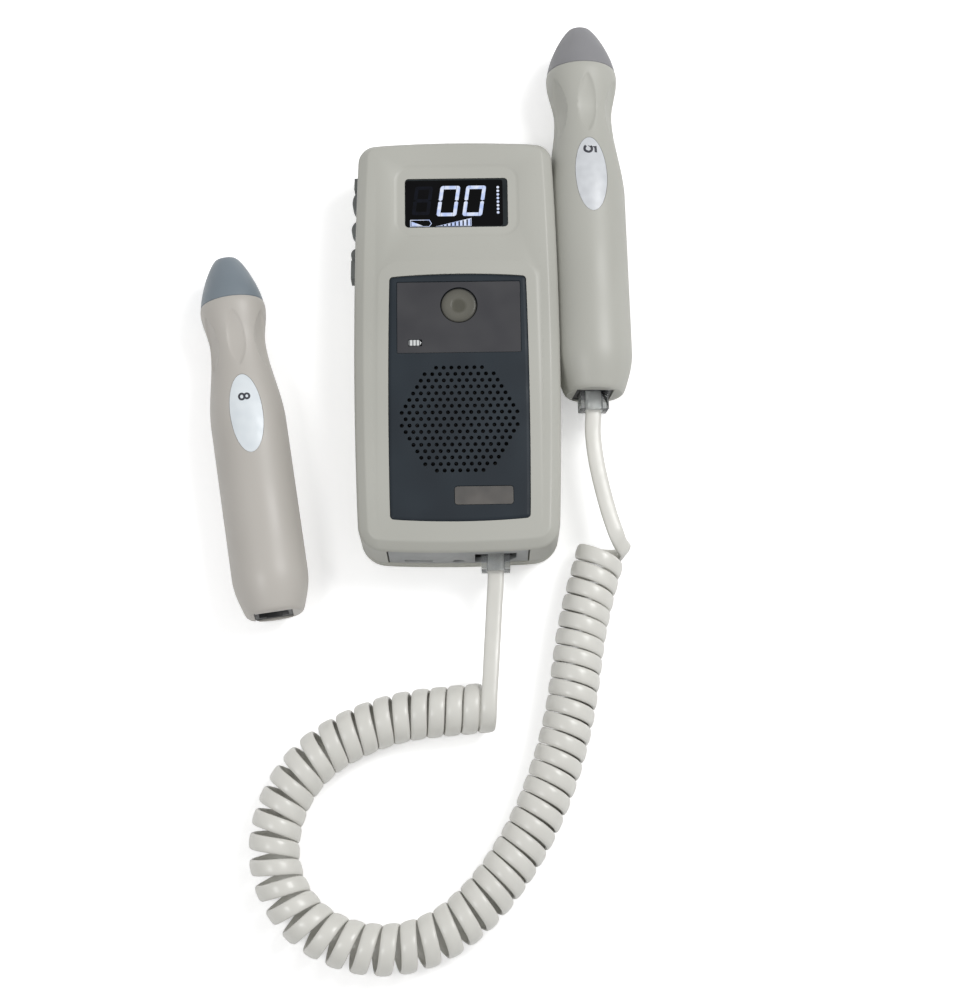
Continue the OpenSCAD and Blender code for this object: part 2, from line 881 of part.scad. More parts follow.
// Radius of the probe at z from its jack end, for a probe of size k
function ease(a, b, t) = a + (b - a) * t * t * (3 - 2 * t);

function probe_r(z) =
    z <= 2 ? end_d / 2 + z / 2 :
    z <= end_round ? end_d / 2 + 1
        + (probe_d / 2 - end_d / 2 - 1) * pow(sin(90 * (z - 2) / (end_round - 2)), 0.75) :
    z <= belly_end ? probe_d / 2 :
    z <= neck_z ? ease(probe_d / 2, neck_d / 2, (z - belly_end) / (neck_z - belly_end)) :
    z <= head_z ? ease(neck_d / 2, head_d / 2, (z - neck_z) / (head_z - neck_z)) :
    z <= probe_seam ? head_d / 2 - 0.5 * pow((z - head_z) / (probe_seam - head_z), 2) :
    let(u = (z - probe_seam) / (probe_l - probe_seam), top = head_d / 2 - 0.5)
        tip_flat_d / 2 + (top - tip_flat_d / 2) * pow(max(1 - pow(u, 1.35), 0), 0.8);

body_steps = concat([0, 2, 4, 7, 10.5, 14, end_round, belly_end],
    [for (i = [1 : 8]) belly_end + (neck_z - belly_end) * i / 8],
    [for (i = [1 : 6]) neck_z + (head_z - neck_z) * i / 6], [probe_seam]);
tip_steps = [for (i = [0 : 9]) probe_seam + (probe_l - probe_seam) * sin(10 * i)];

// Solid of revolution through the given heights, drawn in by d
module turned(steps, k, d) {
    n = len(steps) - 1;
    rotate_extrude($fn = 72)
        polygon(concat([[0, steps[0] * k]], [for (z = steps) [probe_r(z) * k - d, z * k]],
            [[0, steps[n] * k]]));
}

function oval(grow) = [for (i = [0 : 35]) let(a = 5 + i * 10)
    [(oval_w / 2 + grow) * cos(a), (oval_l / 2 + grow) * sin(a)]];

// Oval prism that stands on the probe's upper side, from its axis out
module oval_prism(k, grow) {
    translate([0, 0, oval_z * k])
        rotate([90, 0, 0])
            linear_extrude(probe_d)
                polygon(oval(grow));
}

module oval_skin(k, outer, inner, grow) {
    intersection() {
        oval_prism(k, grow);
        difference() {
            turned(body_steps, k, outer);
            turned(body_steps, k, inner);
        }
    }
}

module probe_shell(k) {
    color(housing_color)
        difference() {
            turned(body_steps, k, 0);
            difference() {
                turned(body_steps, k, probe_wall);
                translate([-probe_d, -probe_d, -1])
                    cube([2 * probe_d, 2 * probe_d, 4]);
            }
            oval_skin(k, -1, oval_t + 0.1, 0.15);
            for (i = [0 : flutes - 1])
                rotate([0, 0, i * 360 / flutes])
                    translate([0, -neck_d * k / 2 - flute_wheel - flute_round + flute_depth, flute_z * k])
                        rotate([0, 90, 0])
                            rotate_extrude($fn = 96)
                                translate([flute_wheel, 0])
                                    circle(flute_round, $fn = 24);
            translate([jack_off - probe_jack_w / 2 - seat_gap, -probe_jack_up - seat_gap, -1])
                cube([probe_jack_w + 2 * seat_gap, probe_jack_up + probe_jack_down + 2 * seat_gap, 6]);
        }
}

module probe_tip(k) {
    color([0.5, 0.54, 0.57])
        difference() {
            turned(tip_steps, k, 0);
            translate([0, 0, probe_seam * k - 1])
                cylinder(r = crystal_cup_r, h = 8);
        }
}

module probe_label(k) {
    color(white_color)
        oval_skin(k, 0.1, oval_t, 0);
}

module probe_jack() {
    color(dark_color)
        translate([jack_off, 0, probe_jack_at])
            modular_jack(probe_jack_w, probe_jack_up, probe_jack_down, probe_jack_l);
}

module probe_board(k) {
    z0 = probe_jack_l + probe_jack_at;
    color(board_color) {
        translate([-8.5 * k, 2, z0])
            cube([17 * k, 1.6, probe_seam * k - z0 - 12]);
        translate([-1.5, 3.5, z0 + 6])
            cube([3, probe_d * k / 2 - probe_wall - 3.7, board_t]);
    }
}

module probe_crystals(k) {
    color(metal_color)
        for (s = [-1, 1])
            translate([s * 3.6 - 3, -4.4, probe_seam * k + 3])
                cube([6, 8.8, 3.9]);
}

// Places children that are drawn with +Z from the jack end to the tip
module at_dock() {
    translate([dock_x, 0, dock_z])
        rotate([0, 0, dock_lean])
            translate([0, dock_end, 0])
                rotate([-90, 0, 0])
                    rotate([0, 0, probe_turn])
                        children();
}

module at_spare() {
    translate([spare_at[0], spare_at[1], probe_d * spare_size / 2 + 0.05])
        rotate([0, 0, spare_lean])
            rotate([-90, 0, 0])
                rotate([0, 0, spare_turn])
                    children();
}

module docked_probe_shell() {
    at_dock() probe_shell(1);
}

module docked_probe_tip() {
    at_dock() probe_tip(1);
}

module docked_probe_label() {
    at_dock() probe_label(1);
}

module docked_probe_jack() {
    at_dock() probe_jack();
}

module docked_probe_board() {
    at_dock() probe_board(1);
}

module docked_probe_crystals() {
    at_dock() probe_crystals(1);
}

module probe_plug() {
    color(clear_color)
        at_dock()
            translate([jack_off, 0, probe_jack_at - plug_out])
                modular_plug();
}

module probe_plug_contacts() {
    color(gold_color)
        at_dock()
            translate([jack_off, 0, probe_jack_at - plug_out])
                plug_contacts();
}

module spare_probe_shell() {
    at_spare() probe_shell(spare_size);
}

module spare_probe_tip() {
    at_spare() probe_tip(spare_size);
}

module spare_probe_label() {
    at_spare() probe_label(spare_size);
}

module spare_probe_jack() {
    at_spare() probe_jack();
}

module spare_probe_board() {
    at_spare() probe_board(spare_size);
}

module spare_probe_crystals() {
    at_spare() probe_crystals(spare_size);
}

function along(p, h, l, turn) =
    abs(turn) < 0.01 ? p + l * [cos(h), sin(h)] :
    let(r = l / turn * 180 / PI)
        p + r * [sin(h + turn) - sin(h), cos(h) - cos(h + turn)];

// For each run: where it starts, its heading there and the curls before it
function run_starts(i, p, h, c) = i >= len(coil_runs) ? [[p, h, c]] :
    let(run = coil_runs[i])
        concat([[p, h, c]], run_starts(i + 1, along(p, h, run[0], run[1]), h + run[1],
            c + run[0] / run[2]));

starts = run_starts(0, coil_start, coil_heading, 0);
all_curls = starts[len(coil_runs)][2];

// Middle line at a count of curls, with its heading
function middle(c) = let(
    u = c * all_curls / curls,
    i = max([for (j = [0 : len(coil_runs) - 1]) starts[j][2] <= u + 1e-9 ? j : 0]),
    run = coil_runs[i],
    l = (u - starts[i][2]) * run[2],
    turn = run[1] * l / run[0])
    [along(starts[i][0], starts[i][1], l, turn), starts[i][1] + turn];

// The cord turns to the left as it runs: from the top over the left side and under
function side_of(h) = [sin(h), -cos(h), 0];

function curl_point(c) = let(m = middle(c), a = 90 + 360 * c)
    [m[0][0], m[0][1], coil_z] + helix_r * (cos(a) * side_of(m[1]) + [0, 0, sin(a)]);

function curl_out(c) = let(a = 90 + 360 * c)
    cos(a) * side_of(middle(c)[1]) + [0, 0, sin(a)];

function unit(v) = v / norm(v);

function curl_dir(c) = let(d = 0.005, a = max(c - d, 0), b = min(c + d, curls))
    unit(curl_point(b) - curl_point(a));

// Ring of the flat section round p, with n its face normal and t its direction
function flat_ring(p, t, n, w, h, sides) = let(
    face = unit(n - (n * t) * t),
    edge = cross(t, face),
    shape = sides == 6 ?
        [[-0.5, 0], [-0.34, 0.5], [0.34, 0.5], [0.5, 0], [0.34, -0.5], [-0.34, -0.5]] :
        [[-0.5, -0.2], [-0.5, 0.2], [-0.38, 0.5], [0.38, 0.5], [0.5, 0.2], [0.5, -0.2],
            [0.38, -0.5], [-0.38, -0.5]])
    [for (q = shape) p + q[0] * w * edge + q[1] * h * face];

coil_in = curl_point(0) - coil_end_run * curl_dir(0);
coil_out = curl_point(curls) + coil_end_run * curl_dir(curls);
coil_rings = concat([flat_ring(coil_in, curl_dir(0), curl_out(0), curl_w, curl_t, 6)],
    [for (k = [0 : curls * rings_per_curl]) let(c = k / rings_per_curl)
        flat_ring(curl_point(c), curl_dir(c), curl_out(c), curl_w, curl_t, 6)],
    [flat_ring(coil_out, curl_dir(curls), curl_out(curls), curl_w, curl_t, 6)]);

// Closed tube through rings of equal count, with triangles all over
module tube(rings) {
    n = len(rings[0]);
    m = len(rings);
    polyhedron(points = [for (r = rings, p = r) p],
        faces = concat(
            [for (k = [0 : m - 2], j = [0 : n - 1]) let(a = k * n + j, b = k * n + (j + 1) % n)
                [a, a + n, b]],
            [for (k = [0 : m - 2], j = [0 : n - 1]) let(a = k * n + j, b = k * n + (j + 1) % n)
                [b, a + n, b + n]],
            [for (j = [1 : n - 2]) [0, j, j + 1]],
            [for (j = [1 : n - 2]) let(e = (m - 1) * n) [e, e + j + 1, e + j]]));
}

// Smooth curve through hand-chosen points
function curve_at(p, i, t) = let(
    a = p[max(i - 1, 0)],
    b = p[i],
    c = p[i + 1],
    d = p[min(i + 2, len(p) - 1)])
    0.5 * (2 * b + (c - a) * t + (2 * a - 5 * b + 4 * c - d) * t * t + (3 * b - a - 3 * c + d) * t * t * t);

function curve(p, n) = concat([for (i = [0 : len(p) - 2], k = [0 : n - 1]) curve_at(p, i, k / n)],
    [p[len(p) - 1]]);

// Rings along the points, with the face normal turning from n0 to n1 over the share [s0, s1]
function lead_rings(p, t0, t1, n0, n1, s0, s1) = let(m = len(p) - 1)
    [for (k = [0 : m]) let(
        t = k == 0 ? t0 : k == m ? t1 : unit(p[k + 1] - p[k - 1]),
        u = min(max((k / m - s0) / (s1 - s0), 0), 1))
        flat_ring(p[k], t, ease(n0, n1, u), cord_w, cord_t, 8)];

unit_plug_rear = -jack_front - plug_out;
unit_lead_points = [[jack_x, unit_plug_rear + plug_pocket, jack_z], [jack_x, unit_plug_rear + 4, jack_z],
    [14.4, -half_l - 10, 16.9], [13.8, -half_l - 18, 16.8], [13.2, -half_l - 27, 17],
    [12.6, -half_l - 36, 17.6], [12, -half_l - 45, 18.6], coil_in];
probe_lead_from = [dock_x + jack_off + 0.25, dock_end + probe_jack_at - plug_out + plug_pocket - 0.02,
    dock_z + 0.05];
probe_lead_points = [probe_lead_from, [55.82, -22.5, 17.65], [55.75, -28, 17.6], [55.4, -35, 17.3],
    [55.9, -43, 17.2], [57.1, -51.5, 17.2], [59, -61, 17.6], [61, -69.5, 18], [62.9, -76, 18.1],
    [64.4, -80, 17.2], [65.5, -82, 15.4], coil_out];

module cord_lead_unit() {
    color(cord_color)
        tube(lead_rings(curve(unit_lead_points, 2), [0, -1, 0], curl_dir(0), [0, 0, 1], [0, 0, 1], 0, 1));
}

module cord_coil() {
    color(cord_color)
        tube(coil_rings);
}

module cord_lead_probe() {
    color(cord_color)
        tube(lead_rings(curve(probe_lead_points, 2), [0.014, -1, 0], -curl_dir(curls),
            [sin(probe_turn), 0, cos(probe_turn)], curl_out(curls), 0.5, 1));
}

// Least gap between a ring and the rings half a curl to one and a half curls on
least_gap = min([for (k = [1 : curls * rings_per_curl - 5], j = [5 : 11])
    if (k + j <= curls * rings_per_curl + 1)
        min([for (a = coil_rings[k], b = coil_rings[k + j]) norm(a - b)])]);
coil_length = sum_steps([for (k = [0 : curls * 24]) curl_point(k / 24)]);

function sum_steps(p) = let(d = [for (i = [1 : len(p) - 1]) norm(p[i] - p[i - 1])])
    d * [for (x = d) 1];

echo(least_gap = least_gap);
echo(cord_length = coil_length + sum_steps(curve(unit_lead_points, 8))
    + sum_steps(curve(probe_lead_points, 8)));
echo(coil_in = coil_in, coil_out = coil_out, coil_end = middle(curls), all_curls = all_curls);

front_housing();
back_housing();
probe_cradle();
lcd_window();
lcd_module();
speaker_panel();
control_label();
name_plate();
charge_light();
status_led();
power_button();
button_switch();
speaker_frame();
speaker_cone();
main_board();
connector_board();
board_ribbon();
side_key_strip();
upper_side_key();
middle_side_key();
lower_side_key();
side_key_switches();
end_panel();
unit_jack();
headphone_jack();
charge_socket();
battery_cells();
battery_contacts();
battery_door();
housing_screws();
board_screws();
cradle_screws();
docked_probe_shell();
docked_probe_tip();
docked_probe_label();
docked_probe_jack();
docked_probe_board();
docked_probe_crystals();
spare_probe_shell();
spare_probe_tip();
spare_probe_label();
spare_probe_jack();
spare_probe_board();
spare_probe_crystals();
unit_plug();
unit_plug_contacts();
probe_plug();
probe_plug_contacts();
cord_lead_unit();
cord_coil();
cord_lead_probe();
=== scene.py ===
# Vascular doppler: hand-held unit, docked probe, spare probe and curly flat cord.
# Shapes are in millimetres of the shared frame, and turned into metres as they are made.
from collections import namedtuple
from math import asin, copysign, cos, hypot, pi, radians, sin

import bmesh
import bpy
from mathutils import Matrix, Vector


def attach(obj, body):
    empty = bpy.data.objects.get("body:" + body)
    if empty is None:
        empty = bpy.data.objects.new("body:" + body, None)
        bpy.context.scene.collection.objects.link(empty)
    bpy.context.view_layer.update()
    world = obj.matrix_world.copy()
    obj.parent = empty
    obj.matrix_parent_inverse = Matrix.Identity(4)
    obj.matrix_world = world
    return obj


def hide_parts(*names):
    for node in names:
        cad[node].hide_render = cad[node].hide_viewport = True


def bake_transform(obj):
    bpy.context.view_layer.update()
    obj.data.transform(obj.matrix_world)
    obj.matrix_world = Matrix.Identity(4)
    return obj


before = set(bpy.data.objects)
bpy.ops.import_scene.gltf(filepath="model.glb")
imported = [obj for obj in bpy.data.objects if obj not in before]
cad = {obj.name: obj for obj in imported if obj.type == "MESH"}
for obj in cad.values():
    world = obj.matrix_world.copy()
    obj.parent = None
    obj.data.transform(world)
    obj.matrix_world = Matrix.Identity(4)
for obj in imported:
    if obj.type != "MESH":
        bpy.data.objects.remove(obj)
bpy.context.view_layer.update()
MM = 0.001

# Driving sizes and places, most of them as in the part's source
UNIT_W = 84.4
UNIT_L = 176.0
SPLIT_Z = 8.0
# Both halves are drawn in by this at their seam
SEAM_IN = 0.35
PLATEAU_Z = 32.7
WALL = 2.4
# Stretch of the battery bay in y
BAY_Y = (-67.0, -12.0)
PANEL_AT = (0.6, -23.5)
PANEL_SIZE = (57.2, 104.5)
PANEL_ROUND = 1.6
BUTTON_AT = (0.96, 15.3)
BUTTON_HOLE_R = 7.6
LIGHT_AT = (-17.1, -0.8)
LIGHT_SIZE = (5.2, 2.4)
LABEL_AT = (0.85, 10.1)
LABEL_SIZE = (50.5, 30.4)
LABEL_Z = 32.55
NAME_AT = (10.2, -65.2)
NAME_SIZE = (23.5, 7.5)
NAME_Z = 32.6
GRILLE_AT = (0.75, -33.2)
HOLE_ROWS = (7, 10, 11, 12, 13, 14, 15, 16, 15, 16, 15, 14, 13, 12, 11, 10, 7)
HOLE_PITCH = 3.12
HOLE_R = 0.85
WINDOW_AT = (0.4, 60.3)
WINDOW_SIZE = (42.4, 21.2)
DOCK_X = 56.1
DOCK_Z = 17.6
DOCK_LEAN = 0.8
DOCK_R = 16.7
# Turn of the docked probe and of its plug about their axis
PLUG_TURN = 7


def placed(name, data):
    thing = bpy.data.objects.new(name, data)
    bpy.context.scene.collection.objects.link(thing)
    return thing


# Camera, in metres, fitted to the photo's plug, speaker holes and outline of the unit

CAMERA_AT = (0.0072, -0.263, 0.830)
CAMERA_LOOK = (0.0033, 0.2385, -0.9711)
CAMERA_ROLL = 0.8
CAMERA_LENS = 76.32
FILM_WIDTH = 36.0


def camera():
    look = Vector(CAMERA_LOOK).normalized()
    right = Vector((cos(radians(CAMERA_ROLL)), -sin(radians(CAMERA_ROLL)), 0.0))
    up = right.cross(look)
    turn = Matrix((right, up, -look)).transposed().to_4x4()
    data = bpy.data.cameras.new("photo_camera")
    data.lens = CAMERA_LENS
    data.sensor_width = FILM_WIDTH
    data.sensor_fit = "HORIZONTAL"
    data.clip_end = 20.0
    eye = placed("photo_camera", data)
    eye.matrix_world = Matrix.Translation(CAMERA_AT) @ turn
    bpy.context.scene.camera = eye


# Making pieces

def new_piece(name, points, faces):
    """Piece from points in millimetres."""
    mesh = bpy.data.meshes.new(name)
    mesh.from_pydata([[v * MM for v in p] for p in points], [], faces)
    mesh.update()
    return placed(name, mesh)


def loft(name, rings):
    """Skin through closed rings of equal count, anticlockwise seen from their far end."""
    n = len(rings[0])
    points = [p for ring in rings for p in ring]
    faces = []
    for k in range(len(rings) - 1):
        for j in range(n):
            a = k * n + j
            b = k * n + (j + 1) % n
            faces.append((a, b, b + n, a + n))
    faces.append(tuple(reversed(range(n))))
    faces.append(tuple(range(len(points) - n, len(points))))
    return new_piece(name, points, faces)


def prisms(name, pairs):
    """Plates in one piece, each between a lower and an upper ring."""
    points = []
    faces = []
    for low, high in pairs:
        a = len(points)
        n = len(low)
        points += low + high
        faces += [(a + j, a + (j + 1) % n, a + n + (j + 1) % n, a + n + j) for j in range(n)]
        faces.append(tuple(a + j for j in reversed(range(n))))
        faces.append(tuple(a + n + j for j in range(n)))
    return new_piece(name, points, faces)


def plates(name, outlines, z0, z1):
    """Flat plates from anticlockwise outlines."""
    return prisms(name, [(lift(outline, z0), lift(outline, z1)) for outline in outlines])


def joined_by(how, piece, tool):
    """Boolean of the piece with a tool, which is used up."""
    step = piece.modifiers.new("step", "BOOLEAN")
    step.operation = how
    step.solver = "EXACT"
    step.object = tool
    bpy.context.view_layer.update()
    graph = bpy.context.evaluated_depsgraph_get()
    mesh = bpy.data.meshes.new_from_object(piece.evaluated_get(graph))
    piece.modifiers.clear()
    old = piece.data
    name = old.name
    piece.data = mesh
    bpy.data.meshes.remove(old)
    mesh.name = name
    bpy.data.objects.remove(tool)


def cut(piece, *tools):
    for tool in tools:
        joined_by("DIFFERENCE", piece, tool)


def unite(piece, *tools):
    for tool in tools:
        joined_by("UNION", piece, tool)


def coat(mesh, material, angle):
    """One material, and smooth shading that breaks at sharp edges."""
    mesh.materials.clear()
    mesh.materials.append(material)
    for face in mesh.polygons:
        face.use_smooth = True
        face.material_index = 0
    mesh.set_sharp_from_angle(angle=radians(angle))


def seat(piece, body, material, slot, *stands_for, angle=30):
    """Gives a piece its finish and its body, and hides the CAD nodes that it stands for; its slot is not
    used.
    """
    coat(piece.data, material, angle)
    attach(piece, body)
    if stands_for:
        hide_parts(*stands_for)
    return piece


def softened(node, edge, body, material, slot):
    """The CAD piece again with its sharp edges rounded by edge."""
    flat = radians(1.5)
    sharp = radians(32)
    mesh = cad[node].data.copy()
    mesh.name = node + "_rounded"
    work = bmesh.new()
    work.from_mesh(mesh)
    bmesh.ops.remove_doubles(work, verts=work.verts, dist=1e-6)
    bmesh.ops.dissolve_limit(work, angle_limit=flat, verts=work.verts, edges=work.edges)
    edges = [e for e in work.edges if e.is_manifold and e.calc_face_angle(0) > sharp]
    bmesh.ops.bevel(work, geom=edges, offset=edge * MM, segments=2, profile=0.5, affect="EDGES",
                    clamp_overlap=True)
    work.to_mesh(mesh)
    work.free()
    return seat(placed(mesh.name, mesh), body, material, slot, node, angle=40)


# Outlines

def bowed(width, length, side_bow, end_bow, top_r, low_r, fine=10):
    """Plate with bowed sides and round corners, anticlockwise from its lower right corner."""
    def side(y):
        return width / 2 - side_bow * (2 * y / length) ** 2

    def end(x):
        return length / 2 - end_bow * (2 * x / width) ** 2

    def corner(sx, sy, r):
        turns = [i if sx * sy > 0 else fine - i for i in range(fine + 1)]
        cx = side(length / 2 - r) - r
        cy = end(width / 2 - r) - r
        angles = [pi / 2 * i / fine for i in turns]
        return [(sx * (cx + r * cos(a)), sy * (cy + r * sin(a))) for a in angles]

    count = 15
    low = -length / 2 + low_r
    high = length / 2 - top_r
    ys = [low + (high - low) * i / count for i in range(1, count)]
    tops = [(width / 2 - top_r) * (1 - 2 * i / count) for i in range(1, count)]
    lows = [(width / 2 - low_r) * (2 * i / count - 1) for i in range(1, count)]
    outline = corner(1, -1, low_r) + [(side(y), y) for y in ys] + corner(1, 1, top_r)
    outline += [(x, end(x)) for x in tops] + corner(-1, 1, top_r)
    outline += [(-side(y), y) for y in reversed(ys)] + corner(-1, -1, low_r)
    return outline + [(x, -end(x)) for x in lows]


def rim(d, top_r=7.0, low_r=11.0, top_share=1.0):
    """Outline of the unit drawn in by d, and by a share of d at its top end."""
    top_d = d * top_share
    outline = bowed(UNIT_W - 2 * d, UNIT_L - d - top_d, 2.0, 1.6, max(top_r - d, 1.0), max(low_r - d, 1.0))
    return moved(outline, (0.0, (d - top_d) / 2))


def moved(outline, at):
    return [(x + at[0], y + at[1]) for x, y in outline]


def plate_outline(size, r, at, grow=0.0, fine=6):
    """Straight plate with round corners, larger by grow in width and in length."""
    return moved(bowed(size[0] + grow, size[1] + grow, 0.0, 0.0, r, r, fine), at)


def disc_outline(r, at, n):
    return [(at[0] + r * cos(2 * pi * i / n), at[1] + r * sin(2 * pi * i / n))
            for i in range(n)]


def drawn_in(outline, d):
    """The outline with its points moved inwards by d."""
    out = []
    for i, (x, y) in enumerate(outline):
        ax, ay = outline[i - 1]
        bx, by = outline[(i + 1) % len(outline)]
        span = hypot(bx - ax, by - ay)
        out.append((x - (by - ay) / span * d, y + (bx - ax) / span * d))
    return out


def lift(outline, z):
    """The outline as a ring of points at height z."""
    return [(x, y, z) for x, y in outline]


def rounded_line(points, rounds, steps):
    """Line whose inner corners are rounded over the distances."""
    line = [points[0]]
    for i in range(1, len(points) - 1):
        a = Vector(points[i - 1])
        p = Vector(points[i])
        b = Vector(points[i + 1])
        if rounds[i] == 0:
            line.append(tuple(p))
            continue
        start = p + (a - p).normalized() * rounds[i]
        stop = p + (b - p).normalized() * rounds[i]
        for k in range(steps + 1):
            s = k / steps
            line.append(tuple(start * (1 - s) ** 2 + p * (2 * s * (1 - s)) + stop * s ** 2))
    return line + [points[-1]]


def rising(name, outline, walls):
    """Piece that rises through (drawn in, height) pairs."""
    return loft(name, [lift(drawn_in(outline, d), z) for d, z in walls])


def slab(name, outline, z0, z1, edge):
    """Plate whose upper rim is rounded by edge."""
    walls = rounded_line([(0.0, z0), (0.0, z1), (edge * 2, z1)], [0, edge, 0], 4)
    return rising(name, outline, walls)


def block(name, x0, x1, y0, y1, z0, z1):
    return loft(name, [lift([(x1, y0), (x1, y1), (x0, y1), (x0, y0)], z) for z in (z0, z1)])


def turned(name, profile, place, n):
    """Round piece through (radius, height) pairs."""
    rings = []
    for r, z in profile:
        rings.append([tuple(place @ Vector((x, y, z))) for x, y in disc_outline(r, (0, 0), n)])
    return loft(name, rings)


def rotation(degrees, axis):
    return Matrix.Rotation(radians(degrees), 4, axis)


# Finishes

def linear(colour, alpha=1.0):
    """Linear colour of a hexadecimal display colour."""
    parts = [int(colour[i:i + 2], 16) / 255 for i in (1, 3, 5)]
    return [c / 12.92 if c <= 0.04045 else ((c + 0.055) / 1.055) ** 2.4 for c in parts] + [alpha]


def add(tree, kind, inputs=None, **settings):
    """Adds a node; an input is a value or another node's output."""
    node = tree.nodes.new("ShaderNode" + kind)
    for name, value in settings.items():
        setattr(node, name, value)
    for name, value in (inputs or {}).items():
        if isinstance(value, bpy.types.NodeSocket):
            tree.links.new(value, node.inputs[name])
        else:
            node.inputs[name].default_value = value
    return node


def finish(name, **sockets):
    """A material and its Principled shader with its constants."""
    material = bpy.data.materials.new(name)
    material.use_nodes = True
    tree = material.node_tree
    tree.nodes.clear()
    shader = add(tree, "BsdfPrincipled", {k.replace("_", " "): v for k, v in sockets.items()})
    add(tree, "OutputMaterial", {"Surface": shader.outputs["BSDF"]})
    return material, tree, shader


def here(tree):
    """Place on the piece."""
    return add(tree, "TexCoord").outputs["Object"]


def spots(tree, size, detail=3.0, stretch=(1.0, 1.0, 1.0)):
    """Soft noise whose spots are about size millimetres across."""
    scaled = add(tree, "Mapping", {"Vector": here(tree), "Scale": stretch})
    return add(tree, "TexNoise", {"Vector": scaled.outputs["Vector"], "Scale": 1000 / size,
                                  "Detail": detail}).outputs["Fac"]


def toned(tree, shader, factor, tones, socket="Base Color"):
    """A socket's colour from (position, colour) pairs along the factor."""
    ramp = add(tree, "ValToRGB", {"Fac": factor})
    ends = ramp.color_ramp.elements
    while len(ends) < len(tones):
        ends.new(0.5)
    for end, (position, colour) in zip(ends, tones):
        end.position = position
        end.color = linear(colour)
    tree.links.new(ramp.outputs["Color"], shader.inputs[socket])


def grained(tree, shader, size, depth):
    """Fine grain, with its size and depth in millimetres."""
    bump = add(tree, "Bump", {"Height": spots(tree, size, 2.0), "Strength": 1.0, "Distance": depth * MM})
    tree.links.new(bump.outputs["Normal"], shader.inputs["Normal"])


def uneven(tree, shader, size, low, high):
    """Roughness that wanders between low and high."""
    wander = add(tree, "MapRange", {"Value": spots(tree, size, 0.0), "From Min": 0.3, "From Max": 0.7,
                                    "To Min": low, "To Max": high})
    tree.links.new(wander.outputs["Result"], shader.inputs["Roughness"])


def moulded(name, dark, light, patch, rough, grain, depth, **sockets):
    """Moulded plastic: two near tones in soft patches, a fine grain and a wandering gloss."""
    material, tree, shader = finish(name, **sockets)
    toned(tree, shader, spots(tree, patch, 0.0), [(0.25, dark), (0.75, light)])
    uneven(tree, shader, patch * 0.6, rough - 0.05, rough + 0.05)
    grained(tree, shader, grain, depth)
    return material


def metallic(name, dark, light, rough, stretch):
    """Bare metal with fine brushed lines."""
    material, tree, shader = finish(name, Metallic=1.0)
    toned(tree, shader, spots(tree, 0.8, 4.0, stretch), [(0.35, dark), (0.65, light)])
    uneven(tree, shader, 3.0, rough - 0.06, rough + 0.06)
    return material


def glowing(name, dark, light, strength, size):
    """Lit display ink: a bluish light, a little stronger in places."""
    material, tree, shader = finish(name, Roughness=0.4, Specular_IOR_Level=0.1,
                                    Emission_Strength=strength, Base_Color=linear("#050507"))
    toned(tree, shader, spots(tree, size, 1.0), [(0.35, dark), (0.65, light)], "Emission Color")
    return material


# Warm grey of the front and the docked probe, with a faint satin grain
shell_plastic = moulded("warm_grey_shell", "#a9a9a2", "#aeaea7", 40, 0.46, 0.35, 0.006)
# Yellower and duller grey of the back half, the cradle and the battery door
side_plastic = moulded("warm_grey_side", "#aaaaa1", "#b0b0a7", 40, 0.5, 0.35, 0.006)
# Sandy grey of the spare probe, lighter and smoother than the docked one
spare_plastic = moulded("sandy_grey_shell", "#b3afa9", "#b8b4ae", 30, 0.42, 0.35, 0.005)
# Dark slate of the speaker panel, nearly matt and with a fine grain
panel_plastic = moulded("slate_panel", "#20272e", "#252d34", 14, 0.5, 0.5, 0.01, Specular_IOR_Level=0.25)
# Warm dark grey of the inset label, smoother than the panel round it
label_film = moulded("dark_grey_label", "#36363a", "#3c3c3f", 10, 0.42, 0.3, 0.004,
                     Specular_IOR_Level=0.35)
# Brownish grey of the small plate, which stands out warm from the slate
plate_film = moulded("brown_grey_plate", "#504e4c", "#5b5855", 5, 0.38, 0.3, 0.004)
# Dull soft rubber of the keys, whose crowns alone catch light
key_rubber = moulded("key_rubber", "#676a69", "#6e7170", 6, 0.62, 0.3, 0.01)
# Cool grey of the end panel, next to the warm shells
end_grey = moulded("cool_grey_end", "#949696", "#9b9d9d", 12, 0.5, 0.35, 0.005)
# Black of the sockets' dark plastic, dark enough to also stand in for painted shade in their wells; on the
# speaker frame it is painted shade behind the holes
dark_sockets_and_hole_shade = moulded("dark_sockets_and_hole_shade", "#17181a", "#1d1e20", 4, 0.4, 0.3, 0.004)
# Neutral dull grey of the docked probe's nose
docked_nose = moulded("grey_nose", "#818184", "#868689", 12, 0.5, 0.3, 0.004)
# Bluish and glossier grey of the spare probe's nose
spare_nose = moulded("blue_grey_nose", "#757f87", "#7a848c", 12, 0.33, 0.3, 0.003)
# Cream skin of the cord, glossy enough for a bright line along each curl
cord_skin = moulded("cream_cord", "#d0cfc9", "#d4d3cd", 8, 0.33, 0.6, 0.003, Coat_Weight=0.2,
                    Coat_Roughness=0.18)
# Silvery film of the docked probe's oval
docked_oval = moulded("silver_oval", "#c2c5c9", "#cacdd1", 3, 0.35, 0.25, 0.002)
# Whiter film of the spare probe's oval
spare_oval = moulded("white_oval", "#d3dadf", "#dbe1e5", 4, 0.35, 0.25, 0.002)
# Dark ink of the digits on the ovals
digit_ink = moulded("dark_ink", "#33343c", "#3a3b43", 2, 0.4, 0.2, 0.002)
# Black glass of the display, smooth enough to mirror faintly
window_black = moulded("window_black", "#040405", "#08080a", 12, 0.12, 2.0, 0.0005, Specular_IOR_Level=0.12)
# Dark greenish border printed inside the display's edge
border_dark = moulded("window_border", "#1c2224", "#242a2c", 5, 0.35, 0.5, 0.002, Specular_IOR_Level=0.2)
# Bluish white light of the display's digits, dots and icons
lit_ink = glowing("lit_ink", "#bccdf8", "#e4ebfc", 0.97, 2.5)
